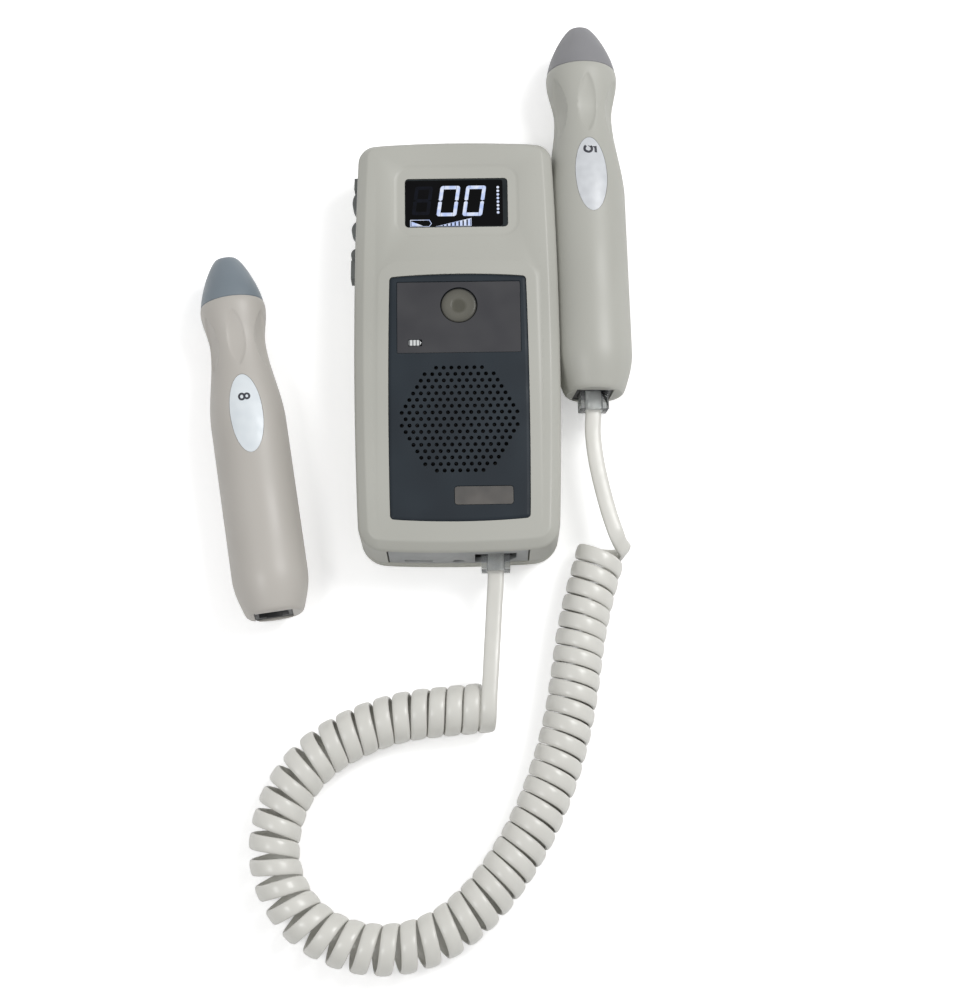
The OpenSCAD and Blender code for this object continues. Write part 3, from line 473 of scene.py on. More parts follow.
# The unlit digit, barely lighter than the glass
dim_ink = glowing("dim_ink", "#070910", "#0b0f1b", 0.9, 4.0)
# Grey steel of screws, switches and the charging socket, faintly brushed
steel = metallic("screw_steel", "#a9a8a4", "#bdbcb8", 0.32, (1.0, 1.0, 8.0))
# Brighter rolled steel of the battery contacts
spring_steel = metallic("spring_steel", "#b3b2ad", "#cac9c4", 0.25, (8.0, 1.0, 1.0))
# Gold of the plug contacts, seen through the clear plugs
gold = metallic("contact_gold", "#b8923f", "#d6b25d", 0.28, (1.0, 6.0, 1.0))
# Blue-grey housing of the display module
module_grey = moulded("display_module", "#3c424a", "#485059", 8, 0.4, 0.4, 0.004)
# Matt black paper of the speaker cone, seen as depth behind the holes
cone_paper = moulded("cone_paper", "#1f1f22", "#2b2b2f", 3, 0.7, 0.25, 0.02)
# White film of the ribbon between the boards
ribbon_white = moulded("ribbon_white", "#dfdfda", "#ececea", 4, 0.45, 0.2, 0.003)
# Pale green body of the status LED
led_clear = moulded("led_clear", "#7fd08a", "#a6e8ae", 1, 0.2, 0.3, 0.001)
# Chalky ceramic of the crystals
crystal_grey = moulded("crystal_ceramic", "#a39f90", "#b6b2a4", 2, 0.6, 0.15, 0.004)


def clear_plug():
    """Clear plastic of the modular plugs, faintly hazy."""
    material, tree, shader = finish("clear_plug", Roughness=0.05, IOR=1.2, Transmission_Weight=0.9)
    toned(tree, shader, spots(tree, 3.0), [(0.3, "#e4e7e9"), (0.7, "#f3f5f6")])
    uneven(tree, shader, 4.0, 0.03, 0.09)
    return material


def button_film():
    """Olive grey of the power button: darker disc, lighter ring, and a painted shadow at its rim that is
    widest at the top and right.
    """
    material, tree, shader = finish("power_button_film", Specular_IOR_Level=0.2)
    # The rings' centre is shifted so that the painted shadow at the rim lies widest at the top and right
    rim_shadow_shift = (-0.15, -0.4)
    top = 0.033
    last_ring = 8.0
    centre = ((BUTTON_AT[0] + rim_shadow_shift[0]) * MM, (BUTTON_AT[1] + rim_shadow_shift[1]) * MM, top)
    away = add(tree, "VectorMath", {0: here(tree), 1: centre}, operation="DISTANCE")
    share = add(tree, "Math", {0: away.outputs["Value"], 1: 1000 / last_ring}, operation="MULTIPLY")
    # The last, near-black stop is painted shadow in the gap round the cap
    toned(tree, shader, share.outputs["Value"], [(0.0, "#504f48"), (0.30, "#525149"), (0.44, "#62615a"),
                                                 (0.62, "#5f5e57"), (0.84, "#55544e"), (0.93, "#2c2c2b")])
    uneven(tree, shader, 3.0, 0.3, 0.42)
    grained(tree, shader, 0.4, 0.004)
    return material


def light_lens():
    """Milky lens of the charge light, with the grey bars of its battery sign."""
    material, tree, shader = finish("charge_lens", Roughness=0.25)
    bars = add(tree, "TexWave", {"Vector": here(tree), "Scale": 1000 / 4.4, "Distortion": 0.0},
               bands_direction="X")
    toned(tree, shader, bars.outputs["Fac"], [(0.15, "#6c6e70"), (0.45, "#cfd2d2")])
    return material


def board_green():
    """Circuit board: green lacquer in blocks, with fine lighter lines."""
    material, tree, shader = finish("board_green", Roughness=0.3)
    tracks = add(tree, "TexBrick", {"Vector": here(tree), "Scale": 1000 / 6.0, "Color1": linear("#1c5a34"),
                                    "Color2": linear("#226a3d"), "Mortar": linear("#2f8350"),
                                    "Mortar Size": 0.03})
    tree.links.new(tracks.outputs["Color"], shader.inputs["Base Color"])
    grained(tree, shader, 1.0, 0.01)
    return material


def cell_wrap():
    """Printed sleeve of a cell: a green end, a silvery middle and a dark end."""
    material, tree, shader = finish("cell_sleeve", Roughness=0.3)
    split = add(tree, "SeparateXYZ", {"Vector": here(tree)})
    lengthwise = add(tree, "MapRange", {"Value": split.outputs["Y"], "From Min": BAY_Y[0] * MM,
                                        "From Max": BAY_Y[1] * MM})
    toned(tree, shader, lengthwise.outputs["Result"], [(0.0, "#3d7d57"), (0.28, "#4a9167"),
                                                       (0.30, "#b9bdbb"), (0.62, "#c6cac8"),
                                                       (0.64, "#2c2f31")])
    grained(tree, shader, 0.8, 0.004)
    return material


# Cord: its route is that of the part's source

# Width and thickness, and how much less the curls have of both
CORD_SIZE = (6.6, 2.5)
CURL_LESS = (0.2, 0.1)
CURLS = 49.75
CURL_R = 8.95
CURL_Z = 10.2
# Start of the curls' middle line, and its heading there in degrees
COIL_START = (11.0, -147.5)
COIL_HEADING = -175.5
# Length, turn in degrees and pitch of its runs
CURL_RUNS = ((24.5, 0.5, 7.0), (40.0, 26.0, 7.4), (45.0, 53.0, 8.0), (45.0, 67.0, 8.6), (55.0, 65.0, 8.4),
             (20.0, 14.5, 7.8), (40.0, 16.5, 7.2), (45.0, 13.5, 7.0), (15.0, 1.0, 6.9), (25.0, -7.0, 6.9),
             (17.0, -1.5, 7.2), (4.7, 0.0, 9.5))
# Each lead ends this far from the curls, in line with them
COIL_END_RUN = 3
# Leads from the two plugs to the curls
UNIT_LEAD = ((14.6, -83.7, 17), (14.6, -89.2, 17), (14.4, -98, 16.9), (13.8, -106, 16.8), (13.2, -115, 17),
             (12.6, -124, 17.6), (12, -133, 18.6))
PROBE_LEAD = ((55.75, -16.84, 17.65), (55.82, -22.5, 17.65), (55.75, -28, 17.6), (55.4, -35, 17.3),
              (55.9, -43, 17.2), (57.1, -51.5, 17.2), (59, -61, 17.6), (61, -69.5, 18),
              (62.9, -76, 18.1), (64.4, -80, 17.2), (65.5, -82, 15.4))
# Lean of the band at its last curl's end, and the count of curls over which it comes
LEAN = Vector((0, -0.7, 0))
LEAN_CURLS = 0.15
# The probe's lead turns flat over 1 / TWIST of its points; leads change section over 1 / TAPER
TWIST = 4.2
TAPER = 4
# Powers below 1 square up the rounded section
WIDTH_POWER = 0.72
THICKNESS_POWER = 0.85
LEAD_STEPS = 8
RINGS_PER_CURL = 28
RING_POINTS = 16


def along(x, y, heading, length, turn):
    """End of an arc, or of a straight run, from x, y."""
    h = radians(heading)
    if abs(turn) < 0.01:
        return x + length * cos(h), y + length * sin(h)
    t = radians(turn)
    r = length / t
    return x + r * (sin(h + t) - sin(h)), y + r * (cos(h) - cos(h + t))


def coil_runs():
    """Where each run starts: place, heading and the curls before it."""
    x, y = COIL_START
    heading = COIL_HEADING
    curls = 0.0
    starts = []
    for length, turn, pitch in CURL_RUNS:
        starts.append((x, y, heading, curls))
        x, y = along(x, y, heading, length, turn)
        heading += turn
        curls += length / pitch
    return starts, curls


RUN_STARTS, ALL_CURLS = coil_runs()


def coil_middle(curl):
    """Place and heading of the curls' middle line at a count of curls."""
    u = curl * ALL_CURLS / CURLS
    i = max(j for j in range(len(CURL_RUNS)) if RUN_STARTS[j][3] <= u + 1e-9)
    x, y, heading, before = RUN_STARTS[i]
    length, turn, pitch = CURL_RUNS[i]
    done = (u - before) * pitch
    turn_done = turn * done / length
    px, py = along(x, y, heading, done, turn_done)
    return px, py, radians(heading + turn_done)


def curl_out(curl):
    """Direction from the middle line to the cord at a count of curls."""
    heading = coil_middle(curl)[2]
    a = radians(90 + 360 * curl)
    return Vector((cos(a) * sin(heading), -cos(a) * cos(heading), sin(a)))


def curl_point(curl):
    x, y, _ = coil_middle(curl)
    return Vector((x, y, CURL_Z)) + CURL_R * curl_out(curl)


def smooth_line(points):
    """Catmull-Rom curve through the points."""
    line = []
    for i in range(len(points) - 1):
        a = points[max(i - 1, 0)]
        b = points[i]
        c = points[i + 1]
        d = points[min(i + 2, len(points) - 1)]
        for k in range(LEAD_STEPS):
            t = k / LEAD_STEPS
            line.append(0.5 * (2 * b + (c - a) * t + (2 * a - 5 * b + 4 * c - d) * t ** 2
                               + (3 * b - a - 3 * c + d) * t ** 3))
    return line + [points[-1]]


def cord_stations():
    """Middle, face direction and share of curl of each ring, from the unit to the probe."""
    step = 0.005
    first = (curl_point(step) - curl_point(0)).normalized()
    last = (curl_point(CURLS) - curl_point(CURLS - step)).normalized()
    coil_in = curl_point(0) - COIL_END_RUN * first
    coil_out = curl_point(CURLS) + COIL_END_RUN * last
    up = Vector((0, 0, 1))
    plug_face = Vector((sin(radians(PLUG_TURN)), 0, cos(radians(PLUG_TURN))))
    stations = []
    line = smooth_line([Vector(p) for p in UNIT_LEAD] + [coil_in])
    for k, p in enumerate(line[:-1]):
        share = k / (len(line) - 1)
        stations.append((p, up, max(0.0, share * TAPER - (TAPER - 1))))
    count = int(CURLS * RINGS_PER_CURL)
    for k in range(count + 1):
        curl = CURLS * k / count
        early = max(1 - (CURLS - curl) / LEAN_CURLS, 0.0)
        stations.append((curl_point(curl), curl_out(curl) + early * early * LEAN, 1.0))
    line = smooth_line([Vector(p) for p in PROBE_LEAD] + [coil_out])[::-1]
    face_end = curl_out(CURLS) + LEAN
    for k, p in enumerate(line):
        share = k / (len(line) - 1)
        s = min(share * TWIST, 1.0)
        s = s * s * (3 - 2 * s)
        stations.append((p, face_end.lerp(plug_face, s), max(0.0, 1 - share * TAPER)))
    return stations


def flat_ring(p, run, face, curled):
    """Rounded flat section about p, square to the run, its wide side to the face."""
    normal = (face - face.dot(run) * run).normalized()
    edge = run.cross(normal)
    w, t = [full - less * curled for full, less in zip(CORD_SIZE, CURL_LESS)]
    ring = []
    for i in range(RING_POINTS):
        a = 2 * pi * (i + 0.5) / RING_POINTS
        c = cos(a)
        s = sin(a)
        across = copysign(abs(c) ** WIDTH_POWER, c) * w / 2
        off = copysign(abs(s) ** THICKNESS_POWER, s) * t / 2
        ring.append(tuple(p + edge * across - normal * off))
    return ring


def curly_cord():
    """One unbroken flat cord from the unit to the docked probe."""
    stations = cord_stations()
    rings = []
    for k, (p, face, curled) in enumerate(stations):
        before = stations[max(k - 1, 0)][0]
        after = stations[min(k + 1, len(stations) - 1)][0]
        rings.append(flat_ring(p, (after - before).normalized(), face, curled))
    piece = loft("curly_cord", rings)
    path = [tuple(p * MM) for p, _, _ in stations]
    length = sum((Vector(a) - Vector(b)).length for a, b in zip(path, path[1:]))
    return piece, path, length


def cord():
    piece, path, length = curly_cord()
    coat(piece.data, cord_skin, 60)
    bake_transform(piece)
    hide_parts("cord_lead_unit", "cord_coil", "cord_lead_probe")
    return piece, path, length


# Unit

def dock_axis():
    """Place of the dock's channel, which runs along its own y."""
    return Matrix.Translation((DOCK_X, 0, DOCK_Z)) @ rotation(DOCK_LEAN, "Z")


def panel_edge(gap):
    """Outline of the dark panel, wider by the gap on each side."""
    width, length = PANEL_SIZE
    r = max(PANEL_ROUND + gap, 0.6)
    return moved(bowed(width + 2 * gap, length + 2 * gap, 0.6, 1.2, r, r, 6), PANEL_AT)


def raised_round_panel():
    """Low step round the dark panel, which fades out towards the lower end."""
    outline = moved(bowed(67.4, 117.0, 0.6, 1.0, 9.0, 6.0), (0.4, -22.9))
    walls = [(0, 31.0), (0, PLATEAU_Z - 0.02), (0.3, 32.82), (0.8, 32.95), (1.3, 33.0)]
    piece = rising("raised_round_panel", outline, walls)
    foot = 0.03268
    upper_end = 0.0357
    length = 0.117
    for point in piece.data.vertices:
        if point.co.z > 0.0326:
            fade = min(max((upper_end - point.co.y) / length, 0.0), 1.0)
            point.co.z -= (point.co.z - foot) * fade * 0.85
    return piece


def front_housing():
    """Upper half, with the display's dish and opening and the dock's channel."""
    slope = 4.0
    high = PLATEAU_Z + 1.3
    walls = rounded_line([(SEAM_IN, SPLIT_Z), (0.0, SPLIT_Z + SEAM_IN), (0.0, 30.0), (slope, PLATEAU_Z),
                          (7.0, PLATEAU_Z)], [0, 0, 1.4, 0.6, 0], 5)
    piece = loft("front_housing_shell", [lift(rim(d, 7.5, 11.0 - 0.5 * min(d, slope), 0.5), z)
                                         for d, z in walls])
    unite(piece, raised_round_panel())
    inside = loft("inside", [lift(rim(WALL), z) for z in (6.0, 28.4)] + [lift(rim(WALL + slope), 30.6)])
    channel = dock_axis() @ rotation(-90, "X")
    rib_r = DOCK_R + WALL
    cut(inside, turned("rib", [(rib_r, -32.0), (rib_r, 100.0)], channel, 96))
    dish = rising("dish", plate_outline((51.9, 31.8), 7.0, (0.55, 61.15), fine=10),
                  [(1.5, 32.22), (1.0, 32.25), (0.1, 32.62), (-0.1, PLATEAU_Z), (-0.6, 33.3)])
    opening = plates("opening", [plate_outline(WINDOW_SIZE, 1.6, WINDOW_AT, 0.4)], 29.0, high)
    pocket = plates("pocket", [panel_edge(0.12)], 31.78, high)
    under_panel = plates("under_panel", [panel_edge(-3.0)], 29.0, high)
    round_bore = turned("dock", [(DOCK_R, -32.0), (DOCK_R, 110.0)], channel, 120)
    end_cut = block("end_cut", -29.2, 28.3, -89.0, -82.0, SPLIT_Z - 1, 29.3)
    key_cut = block("key_cut", -50.0, -38.06, 29.8, 74.6, 16.5, 25.5)
    cut(piece, inside, dish, opening, pocket, under_panel, round_bore, end_cut, key_cut)
    seat(piece, "unit", shell_plastic, "housing", "front_housing")


def back_housing():
    """Lower half with the battery bay and the corner screws' wells."""
    chamfer = 1.5
    walls = rounded_line([(chamfer, 0.0), (0.0, chamfer), (0.0, SPLIT_Z - SEAM_IN), (SEAM_IN, SPLIT_Z)],
                         [0, 0.5, 0, 0], 4)
    piece = loft("back_housing_shell", [lift(rim(d), z) for d, z in walls])
    side = 30.0
    low = BAY_Y[0] - 0.05
    high = BAY_Y[1] + 0.05
    wall = 1.6
    unite(piece, block("bay_walls", -side - wall, side + wall, low - wall, high + wall, 4.0, 17.0 + wall))
    cut(piece, block("bay", -side, side, low, high, -1.0, 17.0))
    well_r = 2.9
    for x, y in ((-31, 79), (29, 79), (-33, -79), (33, -79)):
        cut(piece, turned("screw_well", [(well_r, -1.0), (well_r, 2.5)], Matrix.Translation((x, y, 0)), 40))
    seat(piece, "unit", side_plastic, "housing", "back_housing")


def holes(z0, z1):
    """Cutter for the speaker's rows of holes."""
    middle_row = len(HOLE_ROWS) // 2
    places = []
    for row, count in enumerate(HOLE_ROWS):
        y = GRILLE_AT[1] + (middle_row - row) * HOLE_PITCH * sin(radians(60))
        for i in range(count):
            places.append((GRILLE_AT[0] + (i - (count - 1) / 2) * HOLE_PITCH, y))
    return plates("holes", [disc_outline(HOLE_R, at, 20) for at in places], z0, z1)


def speaker_panel():
    low = 31.0
    high = 33.4
    walls = rounded_line([(0.0, 31.8), (0.0, 32.45), (1.1, 32.95), (1.6, 32.98)], [0, 0.2, 0.3, 0], 3)
    piece = rising("dark_panel", panel_edge(0.0), walls)
    label_cut = rising("label_cut", plate_outline(LABEL_SIZE, 0.6, LABEL_AT, 0.3),
                       [(0, LABEL_Z), (-0.15, 33.3)])
    name_cut = rising("name_cut", plate_outline(NAME_SIZE, 1.4, NAME_AT, 0.3),
                      [(0, NAME_Z), (-0.2, 33.3)])
    button_cut = plates("button_cut", [disc_outline(BUTTON_HOLE_R, BUTTON_AT, 64)], low, high)
    light_cut = plates("light_cut", [plate_outline(LIGHT_SIZE, 0.3, LIGHT_AT, 0.3)], low, high)
    cut(piece, holes(low, high), label_cut, name_cut, button_cut, light_cut)
    seat(piece, "unit", panel_plastic, "dark_panel", "speaker_panel")


def control_label():
    piece = slab("inset_label", plate_outline(LABEL_SIZE, 0.5, LABEL_AT), LABEL_Z, 32.78, 0.1)
    ring_cut = plates("ring_cut", [disc_outline(BUTTON_HOLE_R + 0.08, BUTTON_AT, 64)], 32.0, 33.4)
    light_cut = plates("light_cut", [plate_outline(LIGHT_SIZE, 0.4, LIGHT_AT, 0.5)], 32.0, 33.4)
    cut(piece, ring_cut, light_cut)
    seat(piece, "unit", label_film, "control_label", "control_label")


def name_plate():
    piece = slab("small_plate", plate_outline(NAME_SIZE, 1.2, NAME_AT), NAME_Z, 32.85, 0.12)
    seat(piece, "unit", plate_film, "name_plate", "name_plate")


def power_button():
    """Cap from its flange up to its rim and the shallow dish in its middle."""
    place = Matrix.Translation((BUTTON_AT[0], BUTTON_AT[1], 0))
    profile = [(8.5, 29.3), (8.5, 30.3), (7.4, 30.35), (7.4, 32.0), (7.28, 32.4), (7.0, 32.7),
               (6.6, 32.9), (6.1, 33.0), (5.2, 32.98), (3.9, 32.92), (3.25, 32.9), (3.12, 32.84),
               (3.0, 32.8), (1.5, 32.76), (0.2, 32.75)]
    piece = turned("power_button_cap", profile, place, 72)
    seat(piece, "power_button", button_film(), "button", "power_button")


def charge_light():
    """Lens in the shape of a small battery that points to the right."""
    w = LIGHT_SIZE[0] / 2
    h = LIGHT_SIZE[1] / 2
    outline = moved([(-2.35, -h), (1.5, -h), (2.1, -0.9), (w, 0.0), (2.1, 0.9), (1.5, h), (-2.35, h),
                     (-w, 0.95), (-w, -0.95)], LIGHT_AT)
    piece = slab("charge_lens", outline, 22.4, 32.95, 0.15)
    seat(piece, "unit", light_lens(), "light_pipe", "charge_light")


# Display

GLASS_Z = 32.12
DIGIT_SIZE = (8.25, 13.4)
DIGIT_XS = (-7.96, 2.76)
DIGIT_Y = 54.4
DIGIT_LEAN = 0.145
BAR_T = 1.5
DOTS = 8
DOT_R = 0.56
DOT_AT = (17.72, 55.8)
DOT_PITCH = 1.595


def digit_bars(x, y, w, h, t, lean, lit):
    """Bars, t thick, of a seven-bar digit whose lower left corner is at x, y."""
    gap = 0.09
    middle = h / 2
    r = 1.1
    turn = [(r - r * cos(radians(a)), h - r + r * sin(radians(a)))
            for a in range(90, -1, -18)]
    side = [(0.0, middle + 0.5), (t / 2, middle + 0.12), (t, middle + 0.5), (t, h - t), (t + 0.1, h)]
    bars = {"upper_left": side + turn,
            "top": [(t + 0.1 + gap, h), (t + gap, h - t), (w - t - gap, h - t), (w - t - 0.1 - gap, h)],
            "mid": [(t * 0.6 + gap, middle), (t + gap, middle - t / 2), (w - t - gap, middle - t / 2),
                    (w - t * 0.6 - gap, middle), (w - t - gap, middle + t / 2), (t + gap, middle + t / 2)]}
    bars["upper_right"] = [(w - px, py) for px, py in reversed(bars["upper_left"])]
    bars["lower_left"] = [(px, h - py) for px, py in reversed(bars["upper_left"])]
    bars["lower_right"] = [(w - px, h - py) for px, py in bars["upper_left"]]
    bars["low"] = [(px, h - py) for px, py in reversed(bars["top"])]
    return [[(x + px + lean * py, y + py) for px, py in bars[name]] for name in lit]


def stroke(points, width, closed=False):
    """Flat outlines, one for each step of a drawn line, that meet on their mitres."""
    n = len(points)
    sides = []
    for i, (x, y) in enumerate(points):
        ax, ay = points[(i - 1) % n] if closed or i > 0 else points[i]
        bx, by = points[(i + 1) % n] if closed or i < n - 1 else points[i]
        before = Vector((x - ax, y - ay))
        after = Vector((bx - x, by - y))
        if before.length == 0:
            before = after
        if after.length == 0:
            after = before
        run = (before.normalized() + after.normalized()).normalized()
        spread = width / 2 / max(run.dot(after.normalized()), 0.5)
        sides.append(((x + run.y * spread, y - run.x * spread), (x - run.y * spread, y + run.x * spread)))
    last = n if closed else n - 1
    return [[sides[i][0], sides[(i + 1) % n][0], sides[(i + 1) % n][1], sides[i][1]] for i in range(last)]


def battery_icon():
    """Outline of a battery and the wedge that fills it in part."""
    edge = [(-18.7, 49.95), (-10.9, 49.95), (-10.0, 51.3), (-10.9, 52.8), (-18.7, 52.8)]
    wedge = [(-18.3, 50.3), (-13.6, 50.3), (-18.3, 52.2)]
    return stroke(edge, 0.26, closed=True) + [wedge]


def loudness_icon():
    """Triangle with eight bars in it, which rise to the right."""
    edge = [(-8.1, 49.95), (6.5, 49.95), (6.5, 53.35)]
    foot = 50.15
    width = 1.05
    bars = []
    for i in range(8):
        x = 5.1 - 1.65 * i
        high = foot + (x + 7.4) * 0.233
        bars.append([(x, foot), (x + width, foot), (x + width, high + 0.1), (x, high - 0.14)])
    return stroke(edge, 0.22, closed=True) + bars


def display():
    """Display window, its border and its inks."""
    outline = plate_outline(WINDOW_SIZE, 1.4, WINDOW_AT)
    seat(slab("window_glass", outline, 31.2, GLASS_Z, 0.15), "unit", window_black, "window", "lcd_window")
    border = slab("window_border", outline, 32.05, 32.16, 0.05)
    cut(border, plates("border_hole", [plate_outline((40.4, 20.4), 1.0, (-0.5, 60.1))], 32.0, 33.0))
    seat(border, "unit", border_dark, "window")
    around = ("top", "low", "upper_right", "lower_right", "upper_left", "lower_left")
    lit = []
    for x in DIGIT_XS:
        lit += digit_bars(x, DIGIT_Y, *DIGIT_SIZE, BAR_T, DIGIT_LEAN, around)
    lit += [disc_outline(DOT_R, (DOT_AT[0], DOT_AT[1] + DOT_PITCH * i), 16) for i in range(DOTS)]
    lit += battery_icon() + loudness_icon()
    low = GLASS_Z - 0.02
    seat(plates("lit_digits", lit, low, 32.15), "unit", lit_ink, "window")
    ghost = digit_bars(-18.2, 55.0, 7.4, 12.7, BAR_T, 0.13, around + ("mid",))
    seat(plates("dim_digit", ghost, low, 32.14), "unit", dim_ink, "window")


# Probes

# Lengths of a probe run along its axis from the jack end, before its size is applied. The fields seam,
# length, grips and oval are such lengths, head is a width, and nose the radius of the blunt end
Probe = namedtuple("Probe", "name body place size seam length head nose grips oval")
PROBE_D = 32.8
NECK_D = 24.4
END_D = 23.8
END_FLARE = 2.0
END_ROUND = 18.0
BELLY_END = 86.0
NECK_Z = 122.0
# The head rounds down by SEAM_DROP over this length before the seam
SHOULDER = 3
SEAM_DROP = 0.5
SEAM_STEP = 0.25
GRIPS = 6
GRIP_HALF_L = 12.8
GRIP_HALF_W = 4.0
GRIP_DEPTH = 1.1
OVAL_HALF_L = 16.9
OVAL_HALF_W = 6.65
# Heights of the oval's film and of its ink above the probe's surface
OVAL_FILM = (-0.45, -0.1)
OVAL_INK = (-0.11, -0.05)
DOCKED_END_Y = -19.5
SPARE_SIZE = 0.945
SPARE_AT = (-74.6, -109.7)
SPARE_HEADING = 8.4
SPARE_ROLL = 3


def ease(a, b, t):
    return a + (b - a) * t * t * (3 - 2 * t)


def probe_r(probe, z):
    """Radius of the probe at height z, before its size is applied."""
    head_z = probe.seam - SHOULDER
    if z <= END_FLARE:
        return END_D / 2 + max(z, 0.0) / 2
    if z <= END_ROUND:
        swell = sin(pi / 2 * (z - END_FLARE) / (END_ROUND - END_FLARE))
        return (END_D + END_FLARE) / 2 + (PROBE_D - END_D - END_FLARE) / 2 * swell
    if z <= BELLY_END:
        return PROBE_D / 2
    if z <= NECK_Z:
        return ease(PROBE_D / 2, NECK_D / 2, (z - BELLY_END) / (NECK_Z - BELLY_END))
    if z <= head_z:
        return ease(NECK_D / 2, probe.head / 2, (z - NECK_Z) / (head_z - NECK_Z))
    if z <= probe.seam:
        return probe.head / 2 - SEAM_DROP * ((z - head_z) / SHOULDER) ** 2
    u = min((z - probe.seam) / (probe.length - probe.seam), 1.0)
    return probe.nose + (probe.head / 2 - SEAM_DROP - probe.nose) * max(1 - u ** 1.35, 0.0) ** 0.8


def grip_depth(probe, z, a):
    """Depth of the almond-shaped grip hollows at height z and angle a from the top."""
    t = (z - probe.grips) / GRIP_HALF_L
    if abs(t) >= 1:
        return 0.0
    turn = (a + pi / GRIPS) % (2 * pi / GRIPS) - pi / GRIPS
    reach = GRIP_HALF_W * (1 - t * t) ** 0.75
    s = abs(turn) * probe_r(probe, z) / reach
    return GRIP_DEPTH * (1 - t * t) ** 0.5 * max(1 - s * s, 0.0) ** 0.6


def on_probe(probe, a, z, out=0.0, hollows=False):
    """Point at angle a from the probe's top and height z, out from its surface."""
    r = probe_r(probe, z) * probe.size + out
    if hollows:
        r -= grip_depth(probe, z, a) * probe.size
    return tuple(probe.place @ Vector((r * sin(a), -r * cos(a), z * probe.size)))


def heights(*runs):
    """Heights in even steps through runs of (from, to, count)."""
    line = []
    for z0, z1, count in runs:
        line += [z0 + (z1 - z0) * i / count for i in range(count)]
    return line + [runs[-1][1]]


def probe_shell(probe, material):
    """From the jack end to the seam, with the jack's well and the oval's seat cut out."""
    turns = [2 * pi * i / 216 for i in range(216)]
    hollows_from = 106.0
    head_from = probe.seam - 5
    well_depth = 18.0
    well_mouth = [(-8.4, -7.5), (7.2, -7.5), (7.2, 8.3), (-8.4, 8.3)]
    rings = []
    for z in heights((0.0, END_FLARE, 3), (END_FLARE, END_ROUND, 24), (END_ROUND, BELLY_END, 18),
                     (BELLY_END, hollows_from, 18), (hollows_from, head_from, 60),
                     (head_from, probe.seam - 0.3, 8)):
        inset = -0.5 if z == 0.0 else 0.0
        rings.append([on_probe(probe, a, z, inset, True) for a in turns])
    rings.append([on_probe(probe, a, probe.seam, -SEAM_STEP) for a in turns])
    piece = loft(probe.name + "_shell", rings)
    well = loft("jack_well", [[tuple(probe.place @ Vector((x, y, z))) for x, y in well_mouth]
                              for z in (-1.0, well_depth)])
    cut(piece, well, oval_slab("oval_seat", probe, 0.15, OVAL_FILM[0], 1.2))
    seat(piece, probe.body, material, "housing", probe.body + "_shell", angle=28)


def probe_nose(probe, material):
    """Domed nose from a small step at the seam to its blunt end."""
    turns = [2 * pi * i / 160 for i in range(160)]
    count = 26
    steps = [sin(pi / 2 * i / count) for i in range(1, count)]
    rings = [[on_probe(probe, a, probe.seam, -SEAM_STEP) for a in turns],
             [on_probe(probe, a, probe.seam + SEAM_STEP) for a in turns]]
    reach = probe.length - probe.seam - SEAM_STEP - 0.05
    for s in steps:
        rings.append([on_probe(probe, a, probe.seam + SEAM_STEP + reach * s) for a in turns])
    for r, z in ((probe.nose + 0.15, probe.length - 0.12), (probe.nose - 0.5, probe.length)):
        r *= probe.size
        rings.append([tuple(probe.place @ Vector((r * sin(a), -r * cos(a), z * probe.size)))
                      for a in turns])
    piece = loft(probe.name + "_nose", rings)
    seat(piece, probe.body, material, "probe_tip", probe.body + "_tip", angle=40)


def oval_slab(name, probe, grow, low, high):
    """Oval patch that follows the probe's top, from low to high about its surface."""
    n = 56
    layers = 7
    points = []
    faces = []
    for out in (low, high):
        for m in range(layers):
            share = 1 - m / layers
            for i in range(n):
                a = 2 * pi * i / n
                across = (OVAL_HALF_W + grow) * share * cos(a) / probe.size
                z = probe.oval + (OVAL_HALF_L + grow) * share * sin(a) / probe.size
                points.append(on_probe(probe, asin(across / probe_r(probe, z)), z, out))
        points.append(on_probe(probe, 0.0, probe.oval, out))
    total = n * layers + 1
    for base in (0, total):
        for m in range(layers - 1):
            a = base + m * n
            faces += [(a + i, a + (i + 1) % n, a + n + (i + 1) % n, a + n + i) for i in range(n)]
        a = base + (layers - 1) * n
        faces += [(a + i, a + (i + 1) % n, base + total - 1) for i in range(n)]
    faces += [(i, (i + 1) % n, total + (i + 1) % n, total + i) for i in range(n)]
    piece = new_piece(name, points, faces)
    work = bmesh.new()
    work.from_mesh(piece.data)
    bmesh.ops.recalc_face_normals(work, faces=work.faces)
    work.to_mesh(piece.data)
    work.free()
    return piece


def on_oval(name, probe, outlines):
    """Thin ink on the oval; outlines are (reading, up) lengths from its middle."""
    def spot(read, up, out):
        z = probe.oval - read / probe.size
        return on_probe(probe, up / (probe_r(probe, z) * probe.size), z, out)

    return prisms(name, [[[spot(read, up, out) for read, up in outline] for out in OVAL_INK]
                         for outline in outlines])


def arc(cx, cy, rx, ry, a0, a1, n):
    """Part of an ellipse between two angles in degrees."""
    return [(cx + rx * cos(radians(a0 + (a1 - a0) * i / n)),
             cy + ry * sin(radians(a0 + (a1 - a0) * i / n))) for i in range(n + 1)]


# Width of an oval's digit as a share of its height
DIGIT_SHARE = 0.64


def five(x, y, h):
    """Strokes of a 5 of height h, whose lower left corner is at x, y."""
    w = h * DIGIT_SHARE
    line = [(x + w * 0.95, y + h * 0.91), (x + w * 0.24, y + h * 0.91), (x + w * 0.15, y + h * 0.5)]
    line += arc(x + w * 0.48, y + h * 0.36, w * 0.43, h * 0.27, 135, -150, 16)
    return stroke(line, h * 0.18)


def eight(x, y, h):
    """Strokes of an 8 of height h, whose lower left corner is at x, y."""
    w = h * DIGIT_SHARE
    upper = arc(x + w / 2, y + h * 0.72, w * 0.34, h * 0.2, 0, 360, 18)[:-1]
    lower = arc(x + w / 2, y + h * 0.3, w * 0.4, h * 0.22, 0, 360, 20)[:-1]
    return stroke(upper, h * 0.17, closed=True) + stroke(lower, h * 0.17, closed=True)


